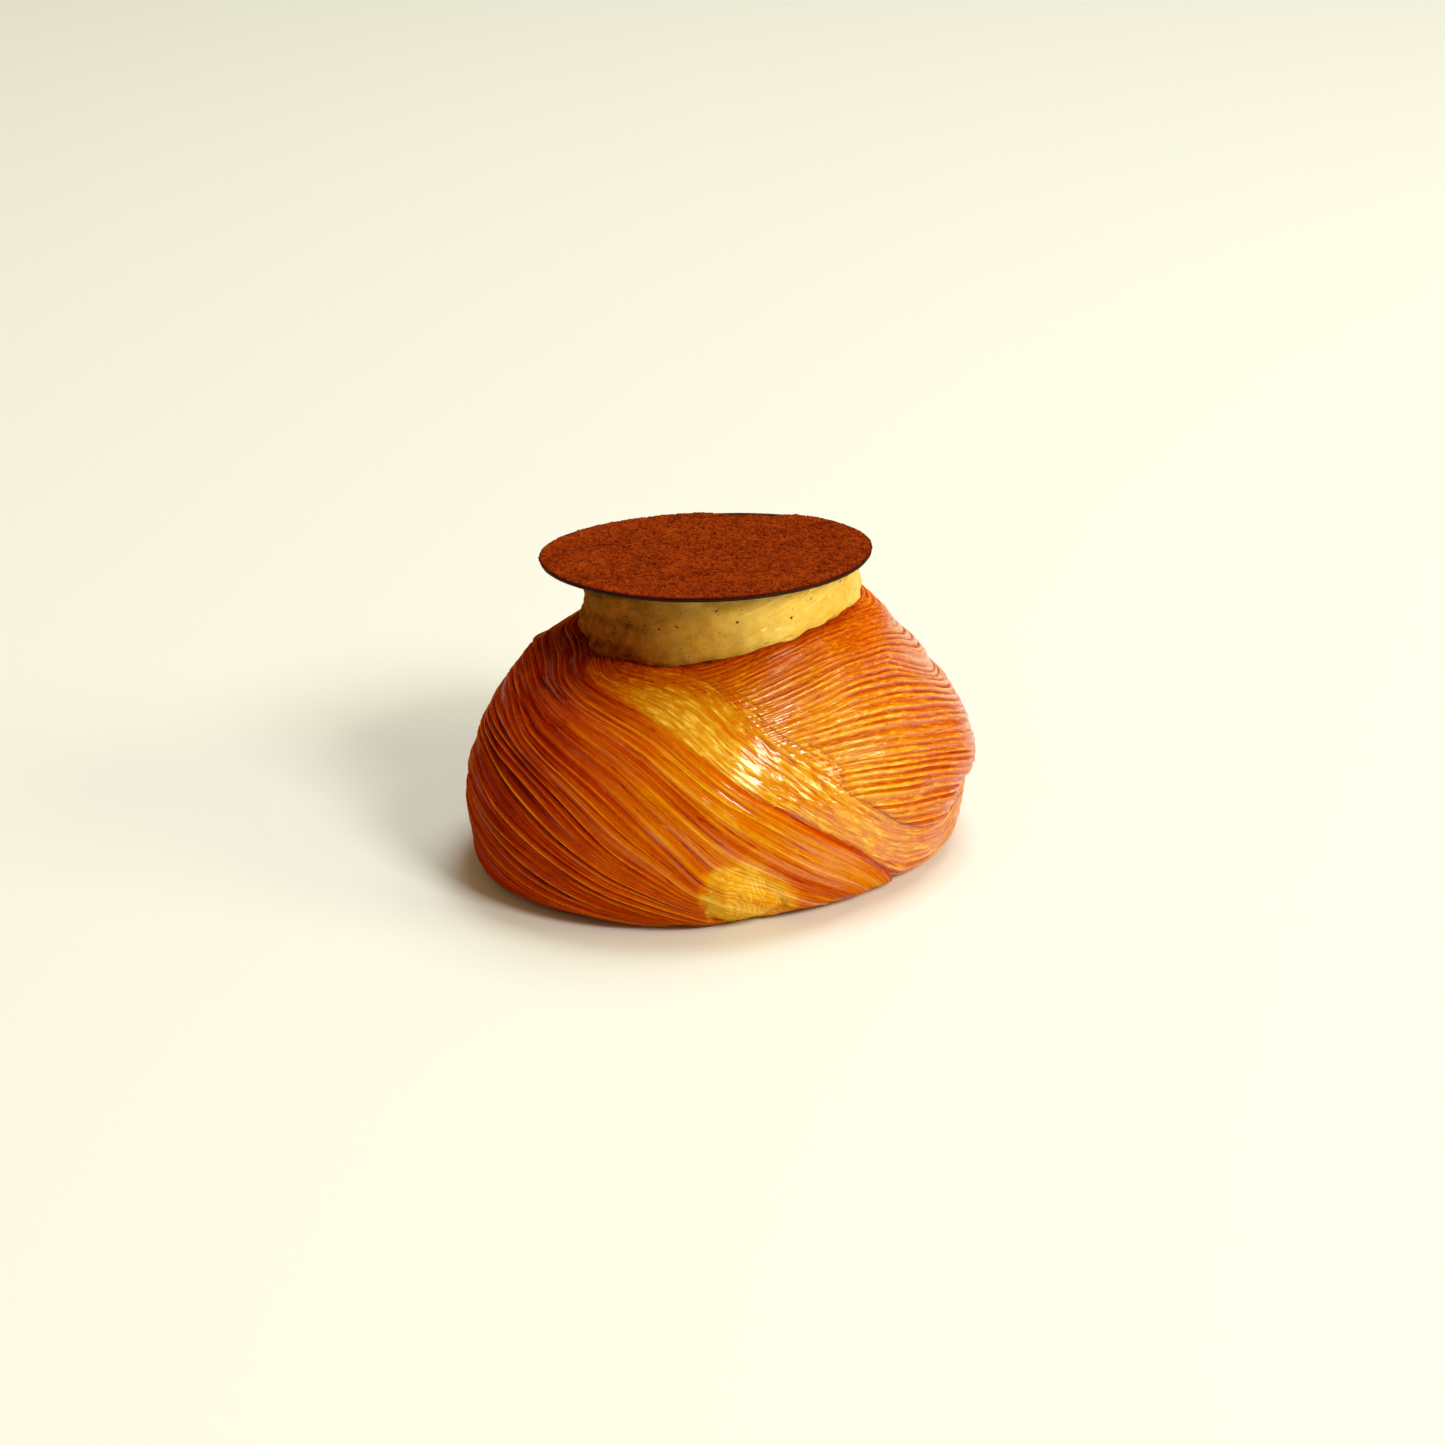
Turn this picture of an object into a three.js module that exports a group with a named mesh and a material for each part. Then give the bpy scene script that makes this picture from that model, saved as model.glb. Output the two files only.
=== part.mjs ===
// Laminated pastry bun with a vanilla cream filling, a thin chocolate disc and a layer of cocoa powder.
// Millimetres, +Z up. The origin is on the surface that the bun stands on, at the centre of its bounding box.
import * as THREE from "three";

// ---- driving dimensions ----
const MEAN_RADIUS = 48.58; // mean outer radius of the bun at its widest height
const PLAN = [[0.8, -1.55], [0.58, 4.86], [0.15, -0.62]]; // cos and sin terms of the outline in plan, orders 1 to 3
const BUN_HEIGHT = 50.8; // height that the bun would reach with no filling in its top
const HEIGHT_TILT = [-0.95, 0.98]; // cos and sin terms of that height
const WAIST = 0.281; // share of the height where the bun is widest
const FOOT = 0.935; // radius at the foot as a share of the widest radius
const SHOULDER = { power: 2.0, root: 2.166, apex: 1.024 }; // how the top rounds over
const BOTTOM_FILLET = 4.5; // rounding where the side meets the underside
const RIM_RADIUS = 26.0; // radius of the well's rim
const LIP = 1.6; // rounding of the rim into the well
const WELL_FLOOR_Z = 21.0; // the filling is piped down to here
const WELL_FLOOR_RADIUS = 13.0;
const RIM_RISE = 2.5; // how much higher the top is towards the side where the last strand is tucked over
const RIM_RISE_AT = -0.6; // direction of that side, radians
// The rim dips where the last strand starts and stands higher on the other side: direction in degrees, height.
const RIM_LIFT = [[-180, -4.4], [-168, -4.6], [-155, -4.6], [-142, -4.4], [-124, -3.4], [-108, -2.5], [-95, -1.8], [-82, -0.9], [-66, 0.1], [-52, 1.3], [-38, 2.1], [-20, 2.7], [0, 2.7], [20, 2.2], [50, 1.0], [90, 0.0], [130, -1.6], [160, -3.4], [180, -4.4]];
const GAP = 0.3; // clearance between touching pieces
const CREAM_RADIUS = 27.0; // widest radius of the cream above the rim
const DISC_RADIUS = 32.0;
const DISC_THICKNESS = 0.8;
const DISC_CENTRE = [-2.65, 0.0, 58.4]; // centre of the disc's underside
const DISC_SLOPE = [0.0315, -0.0777]; // rise of the disc per millimetre along X and Y
const COCOA_RADIUS = 31.8;
const COCOA_THICKNESS = 0.5;
const BARE_EDGE = { from: 0.95, to: 1.62, depth: 3.0 }; // stretch of the disc's edge that the powder doesn't cover, radians
const SHIFT = [-0.35, 0.91]; // moves the bun's own axis so that the bounding box is centred

// ---- bun ----
const planRadius = (t) => PLAN.reduce((r, [c, s], i) => r + c * Math.cos((i + 1) * t) + s * Math.sin((i + 1) * t), MEAN_RADIUS);
const planHeight = (t) => BUN_HEIGHT + HEIGHT_TILT[0] * Math.cos(t) + HEIGHT_TILT[1] * Math.sin(t);
const clamp = (x) => Math.min(1, Math.max(0, x));
const smooth = (x) => { const c = clamp(x); return c * c * (3 - 2 * c); };

// Relative radius of the outside at a relative height.
function sideRadius(z) {
  if (z < WAIST) return 1 - (1 - FOOT) * Math.pow((WAIST - z) / WAIST, 2.6);
  return Math.pow(clamp(1 - Math.pow((z - WAIST) / (SHOULDER.apex - WAIST), SHOULDER.power)), 1 / SHOULDER.root);
}

// Outside profile from the foot to the rim, evenly spaced along its length, as [radius, height].
function outsideProfile(count) {
  const fine = [];
  for (let i = 0; i <= 700; i++) {
    const k = i / 700, z = k < 0.25 ? (WAIST * k) / 0.25 : WAIST + (1 - WAIST) * Math.sin(((k - 0.25) / 0.75) * Math.PI / 2);
    let r = sideRadius(z) * MEAN_RADIUS;
    const h = z * BUN_HEIGHT;
    if (h < BOTTOM_FILLET) r += Math.sqrt(BOTTOM_FILLET ** 2 - (BOTTOM_FILLET - h) ** 2) - BOTTOM_FILLET;
    if (r < RIM_RADIUS) break;
    fine.push([r, h]);
  }
  const run = [0];
  for (let i = 1; i < fine.length; i++) run.push(run[i - 1] + Math.hypot(fine[i][0] - fine[i - 1][0], fine[i][1] - fine[i - 1][1]));
  const out = [];
  for (let i = 0, j = 0; i < count; i++) {
    const want = (run[run.length - 1] * i) / (count - 1);
    while (j < run.length - 2 && run[j + 1] < want) j++;
    const f = (want - run[j]) / (run[j + 1] - run[j]);
    out.push([fine[j][0] + f * (fine[j + 1][0] - fine[j][0]), fine[j][1] + f * (fine[j + 1][1] - fine[j][1])]);
  }
  return out;
}

function rimLift(t) {
  const a = (((t * 180) / Math.PI + 540) % 360) - 180;
  const i = Math.max(1, RIM_LIFT.findIndex(([d]) => d >= a));
  const [[a0, h0], [a1, h1]] = [RIM_LIFT[i - 1], RIM_LIFT[i]];
  return h0 + (h1 - h0) * smooth((a - a0) / (a1 - a0));
}

const rimRise = (t, share) => RIM_RISE * 0.5 * (1 + Math.cos(t - RIM_RISE_AT)) * smooth((share - 0.55) / 0.45) + rimLift(t) * smooth((share - 0.68) / 0.32);

// A point of the outside at plan angle t and a share of the way from the foot to the rim.
function outsidePoint(t, share, [r, h]) {
  const w = smooth((share - 0.55) / 0.45);
  const rel = r / MEAN_RADIUS;
  const radius = planRadius(t) * rel * (1 - w) + r * w;
  return [radius * Math.cos(t), radius * Math.sin(t), (planHeight(t) * h) / BUN_HEIGHT + rimRise(t, share)];
}

// Turns a profile into a closed LatheGeometry standing on +Z, then places each of its vertices with place(angle, profileIndex).
function lathe(profile, segments, place) {
  const g = new THREE.LatheGeometry(profile.map(([r, h]) => new THREE.Vector2(r, h)), segments);
  g.deleteAttribute("normal");
  g.deleteAttribute("uv");
  const p = g.getAttribute("position");
  const n = profile.length;
  for (let i = 0; i <= segments; i++) {
    const t = ((i % segments) / segments) * 2 * Math.PI;
    for (let j = 0; j < n; j++) p.setXYZ(i * n + j, ...place(t, j));
  }
  return g;
}

function bunGeometry() {
  const rows = 22;
  const outside = outsideProfile(rows);
  const rimH = outside[rows - 1][1];
  const profile = [[0, 0], [16, 0], [32, 0]];
  const kinds = [["axis", 0, 0], ["base", 0.36], ["base", 0.72]];
  outside.forEach(([r, h], i) => { profile.push([r, h]); kinds.push(["out", i]); });
  // lip and well
  const well = [];
  for (let i = 1; i <= 3; i++) {
    const a = (i / 3) * Math.PI / 2;
    well.push([RIM_RADIUS - LIP * Math.sin(a), rimH - LIP * (1 - Math.cos(a))]);
  }
  for (let i = 1; i <= 6; i++) {
    const k = i / 6, a = k * Math.PI / 2;
    well.push([WELL_FLOOR_RADIUS + (RIM_RADIUS - LIP - WELL_FLOOR_RADIUS) * Math.cos(a), rimH - LIP - (rimH - LIP - WELL_FLOOR_Z) * Math.sin(a)]);
  }
  well.push([WELL_FLOOR_RADIUS * 0.5, WELL_FLOOR_Z]);
  well.push([0, WELL_FLOOR_Z]);
  well.forEach(([r, h], i) => { profile.push([r, h]); kinds.push(["well", i]); });
  return lathe(profile, 64, (t, j) => {
    const [kind, i] = kinds[j], [r, h] = profile[j];
    if (kind === "axis") return [0, 0, 0];
    if (kind === "base") { const foot = outsidePoint(t, 0, outside[0]); return [foot[0] * i, foot[1] * i, 0]; }
    if (kind === "out") return outsidePoint(t, i / (rows - 1), outside[i]);
    const fade = smooth((h - WELL_FLOOR_Z) / (rimH - WELL_FLOOR_Z));
    const tilt = (planHeight(t) / BUN_HEIGHT - 1) * h + rimRise(t, 1);
    return r === 0 ? [0, 0, h] : [r * Math.cos(t), r * Math.sin(t), h + tilt * fade];
  });
}

// ---- cream ----
const discUnder = (x, y) => DISC_CENTRE[2] + DISC_SLOPE[0] * (x - DISC_CENTRE[0]) + DISC_SLOPE[1] * (y - DISC_CENTRE[1]);

function creamGeometry() {
  const rimH = outsideProfile(22)[21][1];
  const profile = [];
  profile.push([0, WELL_FLOOR_Z + GAP]);
  profile.push([WELL_FLOOR_RADIUS * 0.5, WELL_FLOOR_Z + GAP]);
  const steps = 6, wide = RIM_RADIUS - LIP - 1.0, low = WELL_FLOOR_RADIUS - 1.0;
  for (let i = steps; i >= 1; i--) {
    const a = (i / steps) * Math.PI / 2;
    profile.push([low + (wide - low) * Math.cos(a), rimH - LIP - (rimH - LIP - WELL_FLOOR_Z - 1.0) * Math.sin(a)]);
  }
  profile.push([wide, rimH - LIP]);
  const first = profile.length; // rows from here stand above the rim
  // share of the way from the rim to the disc, and radius
  const above = [[0.1, RIM_RADIUS - 1.6], [0.26, RIM_RADIUS + 0.1], [0.42, CREAM_RADIUS - 0.3], [0.6, CREAM_RADIUS], [0.78, CREAM_RADIUS - 0.5], [0.9, CREAM_RADIUS - 1.8], [0.975, CREAM_RADIUS - 3.8], [1, CREAM_RADIUS - 6.5], [1, CREAM_RADIUS * 0.4], [1, 0]];
  above.forEach(([k, r]) => profile.push([r, rimH + 12 * k]));
  return lathe(profile, 48, (t, j) => {
    const [r, h] = profile[j];
    if (j < first) {
      const fade = smooth((h - WELL_FLOOR_Z) / (rimH - WELL_FLOOR_Z));
      return r === 0 ? [0, 0, h] : [r * Math.cos(t), r * Math.sin(t), h + rimRise(t, 1) * fade];
    }
    const k = above[j - first][0], x = r * Math.cos(t), y = r * Math.sin(t);
    const bottom = rimH + rimRise(t, 1) - 0.4, top = discUnder(x, y) - GAP;
    return r === 0 ? [0, 0, discUnder(0, 0) - GAP] : [x, y, bottom + (top - bottom) * k];
  });
}

// ---- disc and cocoa ----
function discGeometry() {
  const e = 0.25; // softened edge
  const shape = [[0, 0], [DISC_RADIUS - e, 0], [DISC_RADIUS, e], [DISC_RADIUS, DISC_THICKNESS - e], [DISC_RADIUS - e, DISC_THICKNESS], [0, DISC_THICKNESS]];
  return lathe(shape, 72, (t, j) => [shape[j][0] * Math.cos(t), shape[j][0] * Math.sin(t), shape[j][1]]);
}

function cocoaGeometry() {
  const outline = new THREE.Shape();
  const count = 72;
  for (let i = 0; i < count; i++) {
    const t = (i / count) * 2 * Math.PI;
    const bare = smooth((t - BARE_EDGE.from) / 0.12) * smooth((BARE_EDGE.to - t) / 0.2);
    const r = COCOA_RADIUS - BARE_EDGE.depth * bare + 0.12 * Math.sin(7 * t + 1) + 0.08 * Math.sin(17 * t);
    if (i) outline.lineTo(r * Math.cos(t), r * Math.sin(t));
    else outline.moveTo(r * Math.cos(t), r * Math.sin(t));
  }
  outline.closePath();
  return new THREE.ExtrudeGeometry(outline, { depth: COCOA_THICKNESS, bevelEnabled: false });
}

// ---- assembly ----
const material = (color, roughness) => new THREE.MeshStandardMaterial({ color, roughness, metalness: 0 });
const piece = (name, geometry, mat) => { const m = new THREE.Mesh(geometry, mat); m.name = name; return m; };

const pastry = new THREE.Group();
pastry.position.set(SHIFT[0], SHIFT[1], 0);
pastry.add(piece("laminated_bun", bunGeometry(), material(0xc8741e, 0.35)));
pastry.add(piece("vanilla_cream", creamGeometry(), material(0xdcc36a, 0.4)));

const top = new THREE.Group();
top.position.set(...DISC_CENTRE);
top.quaternion.setFromUnitVectors(new THREE.Vector3(0, 0, 1), new THREE.Vector3(-DISC_SLOPE[0], -DISC_SLOPE[1], 1).normalize());
const disc = piece("chocolate_disc", discGeometry(), material(0x3a1a0e, 0.45));
const cocoa = piece("cocoa_dusting", cocoaGeometry(), material(0x7a3416, 0.95));
cocoa.position.z = DISC_THICKNESS + GAP;
top.add(disc, cocoa);
pastry.add(top);

const root = new THREE.Group();
root.add(pastry);
export default root;
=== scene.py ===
# A laminated pastry bun filled with vanilla cream, under a cocoa-dusted chocolate disc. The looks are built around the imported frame.
import math

import bpy
import numpy as np
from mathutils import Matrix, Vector


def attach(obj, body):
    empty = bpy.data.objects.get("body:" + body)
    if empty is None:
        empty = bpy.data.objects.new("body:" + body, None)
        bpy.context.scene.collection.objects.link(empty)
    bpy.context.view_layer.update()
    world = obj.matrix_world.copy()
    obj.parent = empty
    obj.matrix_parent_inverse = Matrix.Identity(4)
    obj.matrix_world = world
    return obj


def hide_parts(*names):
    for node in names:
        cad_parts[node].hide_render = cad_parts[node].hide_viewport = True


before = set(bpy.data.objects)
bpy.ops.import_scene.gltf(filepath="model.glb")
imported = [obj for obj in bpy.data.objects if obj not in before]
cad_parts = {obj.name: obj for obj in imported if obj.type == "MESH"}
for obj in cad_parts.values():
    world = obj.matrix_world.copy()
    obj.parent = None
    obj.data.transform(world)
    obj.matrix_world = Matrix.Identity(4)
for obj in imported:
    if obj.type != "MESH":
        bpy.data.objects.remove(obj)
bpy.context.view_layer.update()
scene = bpy.context.scene
MM = 0.001

# ------------------------------------------------------------------ numbers shared by the pieces, in millimetres
MEAN_RADIUS = 48.58
PLAN = [(0.8, -1.55), (0.58, 4.86), (0.15, -0.62)]
BUN_HEIGHT = 50.8
HEIGHT_TILT = (-0.95, 0.98)
WAIST, FOOT = 0.281, 0.935
SHOULDER_POWER, SHOULDER_ROOT, SHOULDER_APEX = 2.0, 2.166, 1.024
BOTTOM_FILLET = 4.5
RIM_RADIUS = 26.0
LIP = 1.6
WELL_FLOOR_Z, WELL_FLOOR_RADIUS = 21.0, 13.0
RIM_RISE, RIM_RISE_AT = 2.5, -0.6
DISC_RADIUS, DISC_THICKNESS = 31.95, 0.62
DISC_CENTRE = np.array([-2.65, 0.0, 58.40])
DISC_SLOPE = (0.0315, -0.0777)
DISC_OVAL = 0.35  # longer from left to right than from front to back
DISC_WARP = (0.34, 0.19)  # cos and sin terms of its two-wave warp at the edge
COCOA_RADIUS = 31.85
SHIFT = np.array([-0.35, 0.91, 0.0])  # from the bun's own axis to the object's origin

# Lines that the dough's layers follow, as (plan angle in degrees, share of the way from foot to rim). The first number is the line's place across the strand, in millimetres.
BAND_GUIDES = [
    (0.00, [(-88, 0.965), (-76, 0.985), (-60, 0.995), (-40, 0.995), (-17, 0.970), (0, 0.940), (30, 0.920), (60, 0.925), (90, 0.930), (130, 0.940), (165, 0.945), (200, 0.955), (214, 0.897), (231, 0.845), (240, 0.820), (249, 0.785), (257, 0.738), (262, 0.693), (267, 0.645), (274, 0.570), (279, 0.520), (286, 0.465), (293, 0.390), (301, 0.320), (307, 0.260), (314, 0.175), (320, 0.105), (324, 0.040)]),
    (8.01, [(-88, 0.893), (-76, 0.925), (-64, 0.943), (-51, 0.948), (-34, 0.945), (-15, 0.910), (2, 0.855), (30, 0.800), (60, 0.790), (90, 0.790), (130, 0.800), (165, 0.800), (208, 0.802), (220, 0.782), (228, 0.763), (237, 0.738), (245, 0.705), (252, 0.667), (257, 0.620), (263, 0.560), (268, 0.503), (275, 0.435)]),
    (22.89, [(-69, 0.795), (-58, 0.818), (-42, 0.823), (-22, 0.795), (9, 0.642), (30, 0.600), (60, 0.585), (90, 0.590), (130, 0.610), (165, 0.630), (198, 0.652), (210, 0.638), (218, 0.618), (225, 0.595), (232, 0.565), (238, 0.522), (243, 0.475), (248, 0.420), (254, 0.362), (259, 0.307), (265, 0.210)]),
    (35.64, [(-58, 0.642), (-50, 0.660), (-39, 0.657), (-24, 0.610), (7, 0.440), (30, 0.390), (60, 0.380), (90, 0.390), (130, 0.420), (165, 0.460), (203, 0.500), (211, 0.475), (218, 0.440), (225, 0.405), (230, 0.367), (236, 0.325), (242, 0.283), (247, 0.235), (254, 0.203), (259, 0.168), (265, 0.140)]),
    (48.00, [(-55, 0.527), (-45, 0.508), (-27, 0.460), (30, 0.270), (60, 0.250), (90, 0.240), (130, 0.250), (165, 0.260), (210, 0.255), (217, 0.233), (223, 0.203), (228, 0.175), (234, 0.147), (240, 0.135), (247, 0.118), (252, 0.083)]),
    (15.42, [(-78, 0.843), (-67, 0.875), (-50, 0.893), (-32, 0.870), (-6, 0.812), (16, 0.708)]),
    (26.85, [(-63, 0.768), (-49, 0.782), (-37, 0.770), (-19, 0.718), (8, 0.565)]),
    (31.23, [(-59, 0.708), (-44, 0.720), (-28, 0.698), (-14, 0.645)]),
    (39.38, [(-58, 0.628), (-48, 0.613), (-38, 0.600), (-23, 0.547)]),
    (43.09, [(-55, 0.580), (-43, 0.560), (-29, 0.527)]),
    (52.07, [(-53, 0.470), (-43, 0.448), (-29, 0.410), (0, 0.270)]),
    (55.22, [(-50, 0.425), (-40, 0.390), (-25, 0.352), (-7, 0.278)]),
    (14.79, [(208, 0.748), (216, 0.725), (225, 0.698), (233, 0.670), (240, 0.640), (245, 0.613), (250, 0.578), (255, 0.522), (259, 0.465), (264, 0.410), (268, 0.350), (270, 0.315)]),
    (19.46, [(204, 0.705), (215, 0.688), (226, 0.652), (235, 0.610), (242, 0.568), (246, 0.525), (251, 0.473), (256, 0.415), (260, 0.352), (264, 0.288), (266, 0.215)]),
    (28.98, [(201, 0.583), (210, 0.570), (218, 0.542), (226, 0.503), (232, 0.460), (237, 0.422), (242, 0.375), (246, 0.328), (252, 0.290), (257, 0.245), (262, 0.195)]),
    (41.74, [(205, 0.360), (213, 0.338), (219, 0.318), (225, 0.290), (231, 0.263), (236, 0.230), (241, 0.200), (247, 0.163), (255, 0.133), (263, 0.110)]),
    (4.74, [(266, 0.578), (272, 0.505), (279, 0.440), (286, 0.378), (293, 0.312), (301, 0.238), (308, 0.175), (312, 0.135)]),
    (9.60, [(266, 0.492), (272, 0.415), (279, 0.348), (286, 0.278), (293, 0.215), (300, 0.160)]),
    (13.10, [(266, 0.420), (270, 0.367), (274, 0.323), (280, 0.270), (286, 0.208), (292, 0.160)]),
]
UNDER_GUIDES = [
    (0.00, [(-172, 1.000), (-160, 0.955), (-146, 0.897), (-129, 0.845), (-120, 0.820), (-111, 0.785), (-103, 0.738), (-98, 0.693), (-93, 0.645), (-86, 0.570), (-81, 0.520), (-74, 0.465), (-67, 0.390), (-59, 0.320), (-53, 0.260), (-45, 0.175), (-40, 0.105), (-36, 0.040)]),
    (15.00, [(-57, 0.560), (-57, 0.508), (-52, 0.443), (-47, 0.385), (-41, 0.318), (-33, 0.270), (-25, 0.247), (-16, 0.263), (-12, 0.278), (0, 0.285), (20, 0.275), (45, 0.260), (75, 0.235), (105, 0.180), (135, 0.090)]),
    (5.83, [(-88, 0.670), (-83, 0.615), (-78, 0.552), (-74, 0.508), (-66, 0.432), (-59, 0.360), (-50, 0.290), (-40, 0.225), (-28, 0.188), (-18, 0.180), (-13, 0.212), (0, 0.210), (25, 0.200), (60, 0.170), (95, 0.120), (120, 0.060)]),
    (9.99, [(-87, 0.733), (-80, 0.667), (-73, 0.598), (-66, 0.512), (-58, 0.435), (-50, 0.357), (-40, 0.275), (-30, 0.228), (-21, 0.212), (-13, 0.230)]),
    (2.27, [(-92, 0.647), (-85, 0.583), (-78, 0.517), (-71, 0.453), (-64, 0.378), (-57, 0.307), (-50, 0.245), (-41, 0.193), (-32, 0.160), (-20, 0.133)]),
    (8.76, [(-114, 0.897), (-96, 0.792), (-88, 0.743), (-80, 0.655), (-72, 0.573)]),
    (10.51, [(-132, 0.927), (-112, 0.922), (-94, 0.860)]),
    (-2.41, [(-30, 0.050), (-10, 0.090), (20, 0.100), (60, 0.085), (90, 0.050)]),
]
CREASE = [(-158.0, 1.000), (-152.5, 0.955), (-145.5, 0.905), (-128.8, 0.845), (-120.0, 0.820), (-111.2, 0.785), (-103.2, 0.738), (-97.8, 0.693), (-92.8, 0.645), (-85.5, 0.570), (-81.0, 0.520), (-74.0, 0.465), (-66.8, 0.390), (-59.0, 0.320), (-53.0, 0.260), (-45.5, 0.175), (-40.0, 0.105), (-36.0, 0.050), (-32.0, 0.000)]
OVERLAP = [(-108.0, 1.000), (-101.2, 0.963), (-91.5, 0.917), (-82.7, 0.840), (-75.8, 0.748), (-69.5, 0.698), (-63.3, 0.650), (-58.5, 0.618), (-57.5, 0.560), (-56.8, 0.508), (-52.5, 0.443), (-47.0, 0.385), (-40.7, 0.318), (-33.2, 0.270), (-25.0, 0.247), (-16.5, 0.263), (-12.0, 0.278), (0.0, 0.285), (20.0, 0.275), (45.0, 0.260), (75.0, 0.235), (105.0, 0.180), (135.0, 0.090), (155.0, 0.000)]
TAIL = [(-93.2, 0.295), (-90.8, 0.310), (-86.5, 0.302), (-82.5, 0.273), (-79.0, 0.230), (-75.5, 0.170), (-73.7, 0.125), (-76.2, 0.098), (-80.5, 0.065), (-85.2, 0.055), (-90.2, 0.090), (-92.8, 0.145), (-93.5, 0.203), (-93.5, 0.253)]

# ------------------------------------------------------------------ helpers
def smooth(x):
    x = np.clip(x, 0.0, 1.0)
    return x * x * (3 - 2 * x)


def lattice(ix, iy, seed):
    n = (ix.astype(np.int64) * 374761393 + iy.astype(np.int64) * 668265263 + seed * 974634777) & 0xFFFFFFFF
    n = ((n ^ (n >> 13)) * 1274126177) & 0xFFFFFFFF
    n = (n ^ (n >> 16)) & 0xFFFFFF
    return n / float(0xFFFFFF)


def noise(x, y, seed=0):
    """Smooth value noise from 0 to 1 with one cell per unit."""
    ix, iy = np.floor(x), np.floor(y)
    fx, fy = x - ix, y - iy
    fx, fy = fx**3 * (fx * (fx * 6 - 15) + 10), fy**3 * (fy * (fy * 6 - 15) + 10)
    a, b = lattice(ix, iy, seed), lattice(ix + 1, iy, seed)
    c, d = lattice(ix, iy + 1, seed), lattice(ix + 1, iy + 1, seed)
    return (a * (1 - fx) + b * fx) * (1 - fy) + (c * (1 - fx) + d * fx) * fy


def noise3(p, size, seed=0):
    q = p / size
    i = np.floor(q)
    f = q - i
    f = f**3 * (f * (f * 6 - 15) + 10)
    out = 0.0
    for dz in (0, 1):
        iz = (i[..., 2] + dz) * 57 + seed * 131
        wz = f[..., 2] if dz else 1 - f[..., 2]
        for dy in (0, 1):
            wy = f[..., 1] if dy else 1 - f[..., 1]
            for dx in (0, 1):
                wx = f[..., 0] if dx else 1 - f[..., 0]
                out = out + wx * wy * wz * lattice(i[..., 0] + dx, (i[..., 1] + dy) * 7919 + iz, seed)
    return out


def thin_plate(points, values, relax):
    """A smooth field through scattered values. Points are [x, y] in millimetres."""
    points, values = np.asarray(points, float), np.asarray(values, float)
    n = len(points)

    def kernel(a, b):
        d2 = ((a[:, None, :] - b[None, :, :]) ** 2).sum(2)
        return 0.5 * d2 * np.log(np.maximum(d2, 1e-12))

    m = np.zeros((n + 3, n + 3))
    m[:n, :n] = kernel(points, points) + relax * np.eye(n)
    m[:n, n] = 1
    m[:n, n + 1 :] = points
    m[n, :n] = 1
    m[n + 1 :, :n] = points.T
    sol = np.linalg.solve(m, np.concatenate([values, np.zeros(3)]))

    def at(x, y):
        z = np.stack([np.ravel(x), np.ravel(y)], 1)
        out = np.empty(len(z))
        for k in range(0, len(z), 8000):
            part = z[k : k + 8000]
            out[k : k + 8000] = kernel(part, points) @ sol[:n] + sol[n] + part @ sol[n + 1 :]
        return out.reshape(np.shape(x))

    return at


def cubic_rows(coarse, fine):
    """Rows of Catmull-Rom weights that carry samples at evenly spaced coarse places to the fine places."""
    n = len(coarse)
    t = (fine - coarse[0]) / (coarse[1] - coarse[0])
    i = np.clip(np.floor(t).astype(int), 0, n - 2)
    f = t - i
    w = np.zeros((len(fine), n))
    rows = np.arange(len(fine))
    for k, wk in enumerate((-0.5 * f + f**2 - 0.5 * f**3, 1 - 2.5 * f**2 + 1.5 * f**3, 0.5 * f + 2 * f**2 - 1.5 * f**3, -0.5 * f**2 + 0.5 * f**3)):
        np.add.at(w, (rows, np.clip(i - 1 + k, 0, n - 1)), wk)
    return w


def ring_mesh(name, rings, cap_first, cap_last):
    """A closed mesh from rings of points. Two rings of equal count are joined by quads, and a ring of half the count by triangles.
    Seen from outside the rings run anticlockwise and follow each other upwards. cap_first and cap_last are the points that close the ends."""
    verts = np.vstack([cap_first[None]] + rings + [cap_last[None]])
    start = np.cumsum([1] + [len(r) for r in rings])
    tris, quads = [], []
    n0 = len(rings[0])
    i = np.arange(n0)
    tris.append(np.stack([np.zeros(n0, int), start[0] + (i + 1) % n0, start[0] + i], 1))
    for j in range(len(rings) - 1):
        a, b, na, nb = start[j], start[j + 1], len(rings[j]), len(rings[j + 1])
        if na == nb:
            i = np.arange(na)
            k = (i + 1) % na
            quads.append(np.stack([a + i, a + k, b + k, b + i], 1))
        elif na == 2 * nb:
            i = np.arange(nb)
            k = (i + 1) % nb
            tris.append(np.stack([a + 2 * i, a + 2 * i + 1, b + i], 1))
            tris.append(np.stack([a + 2 * i + 1, b + k, b + i], 1))
            tris.append(np.stack([a + 2 * i + 1, a + (2 * i + 2) % na, b + k], 1))
        elif nb == 2 * na:
            i = np.arange(na)
            k = (i + 1) % na
            tris.append(np.stack([a + i, b + 2 * i + 1, b + 2 * i], 1))
            tris.append(np.stack([a + i, a + k, b + 2 * i + 1], 1))
            tris.append(np.stack([a + k, b + (2 * i + 2) % nb, b + 2 * i + 1], 1))
        else:
            raise ValueError("rings of %d and %d points" % (na, nb))
    nl = len(rings[-1])
    i = np.arange(nl)
    last = len(verts) - 1
    tris.append(np.stack([start[-2] + i, start[-2] + (i + 1) % nl, np.full(nl, last)], 1))
    return raw_mesh(name, verts, tris, quads)


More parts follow.
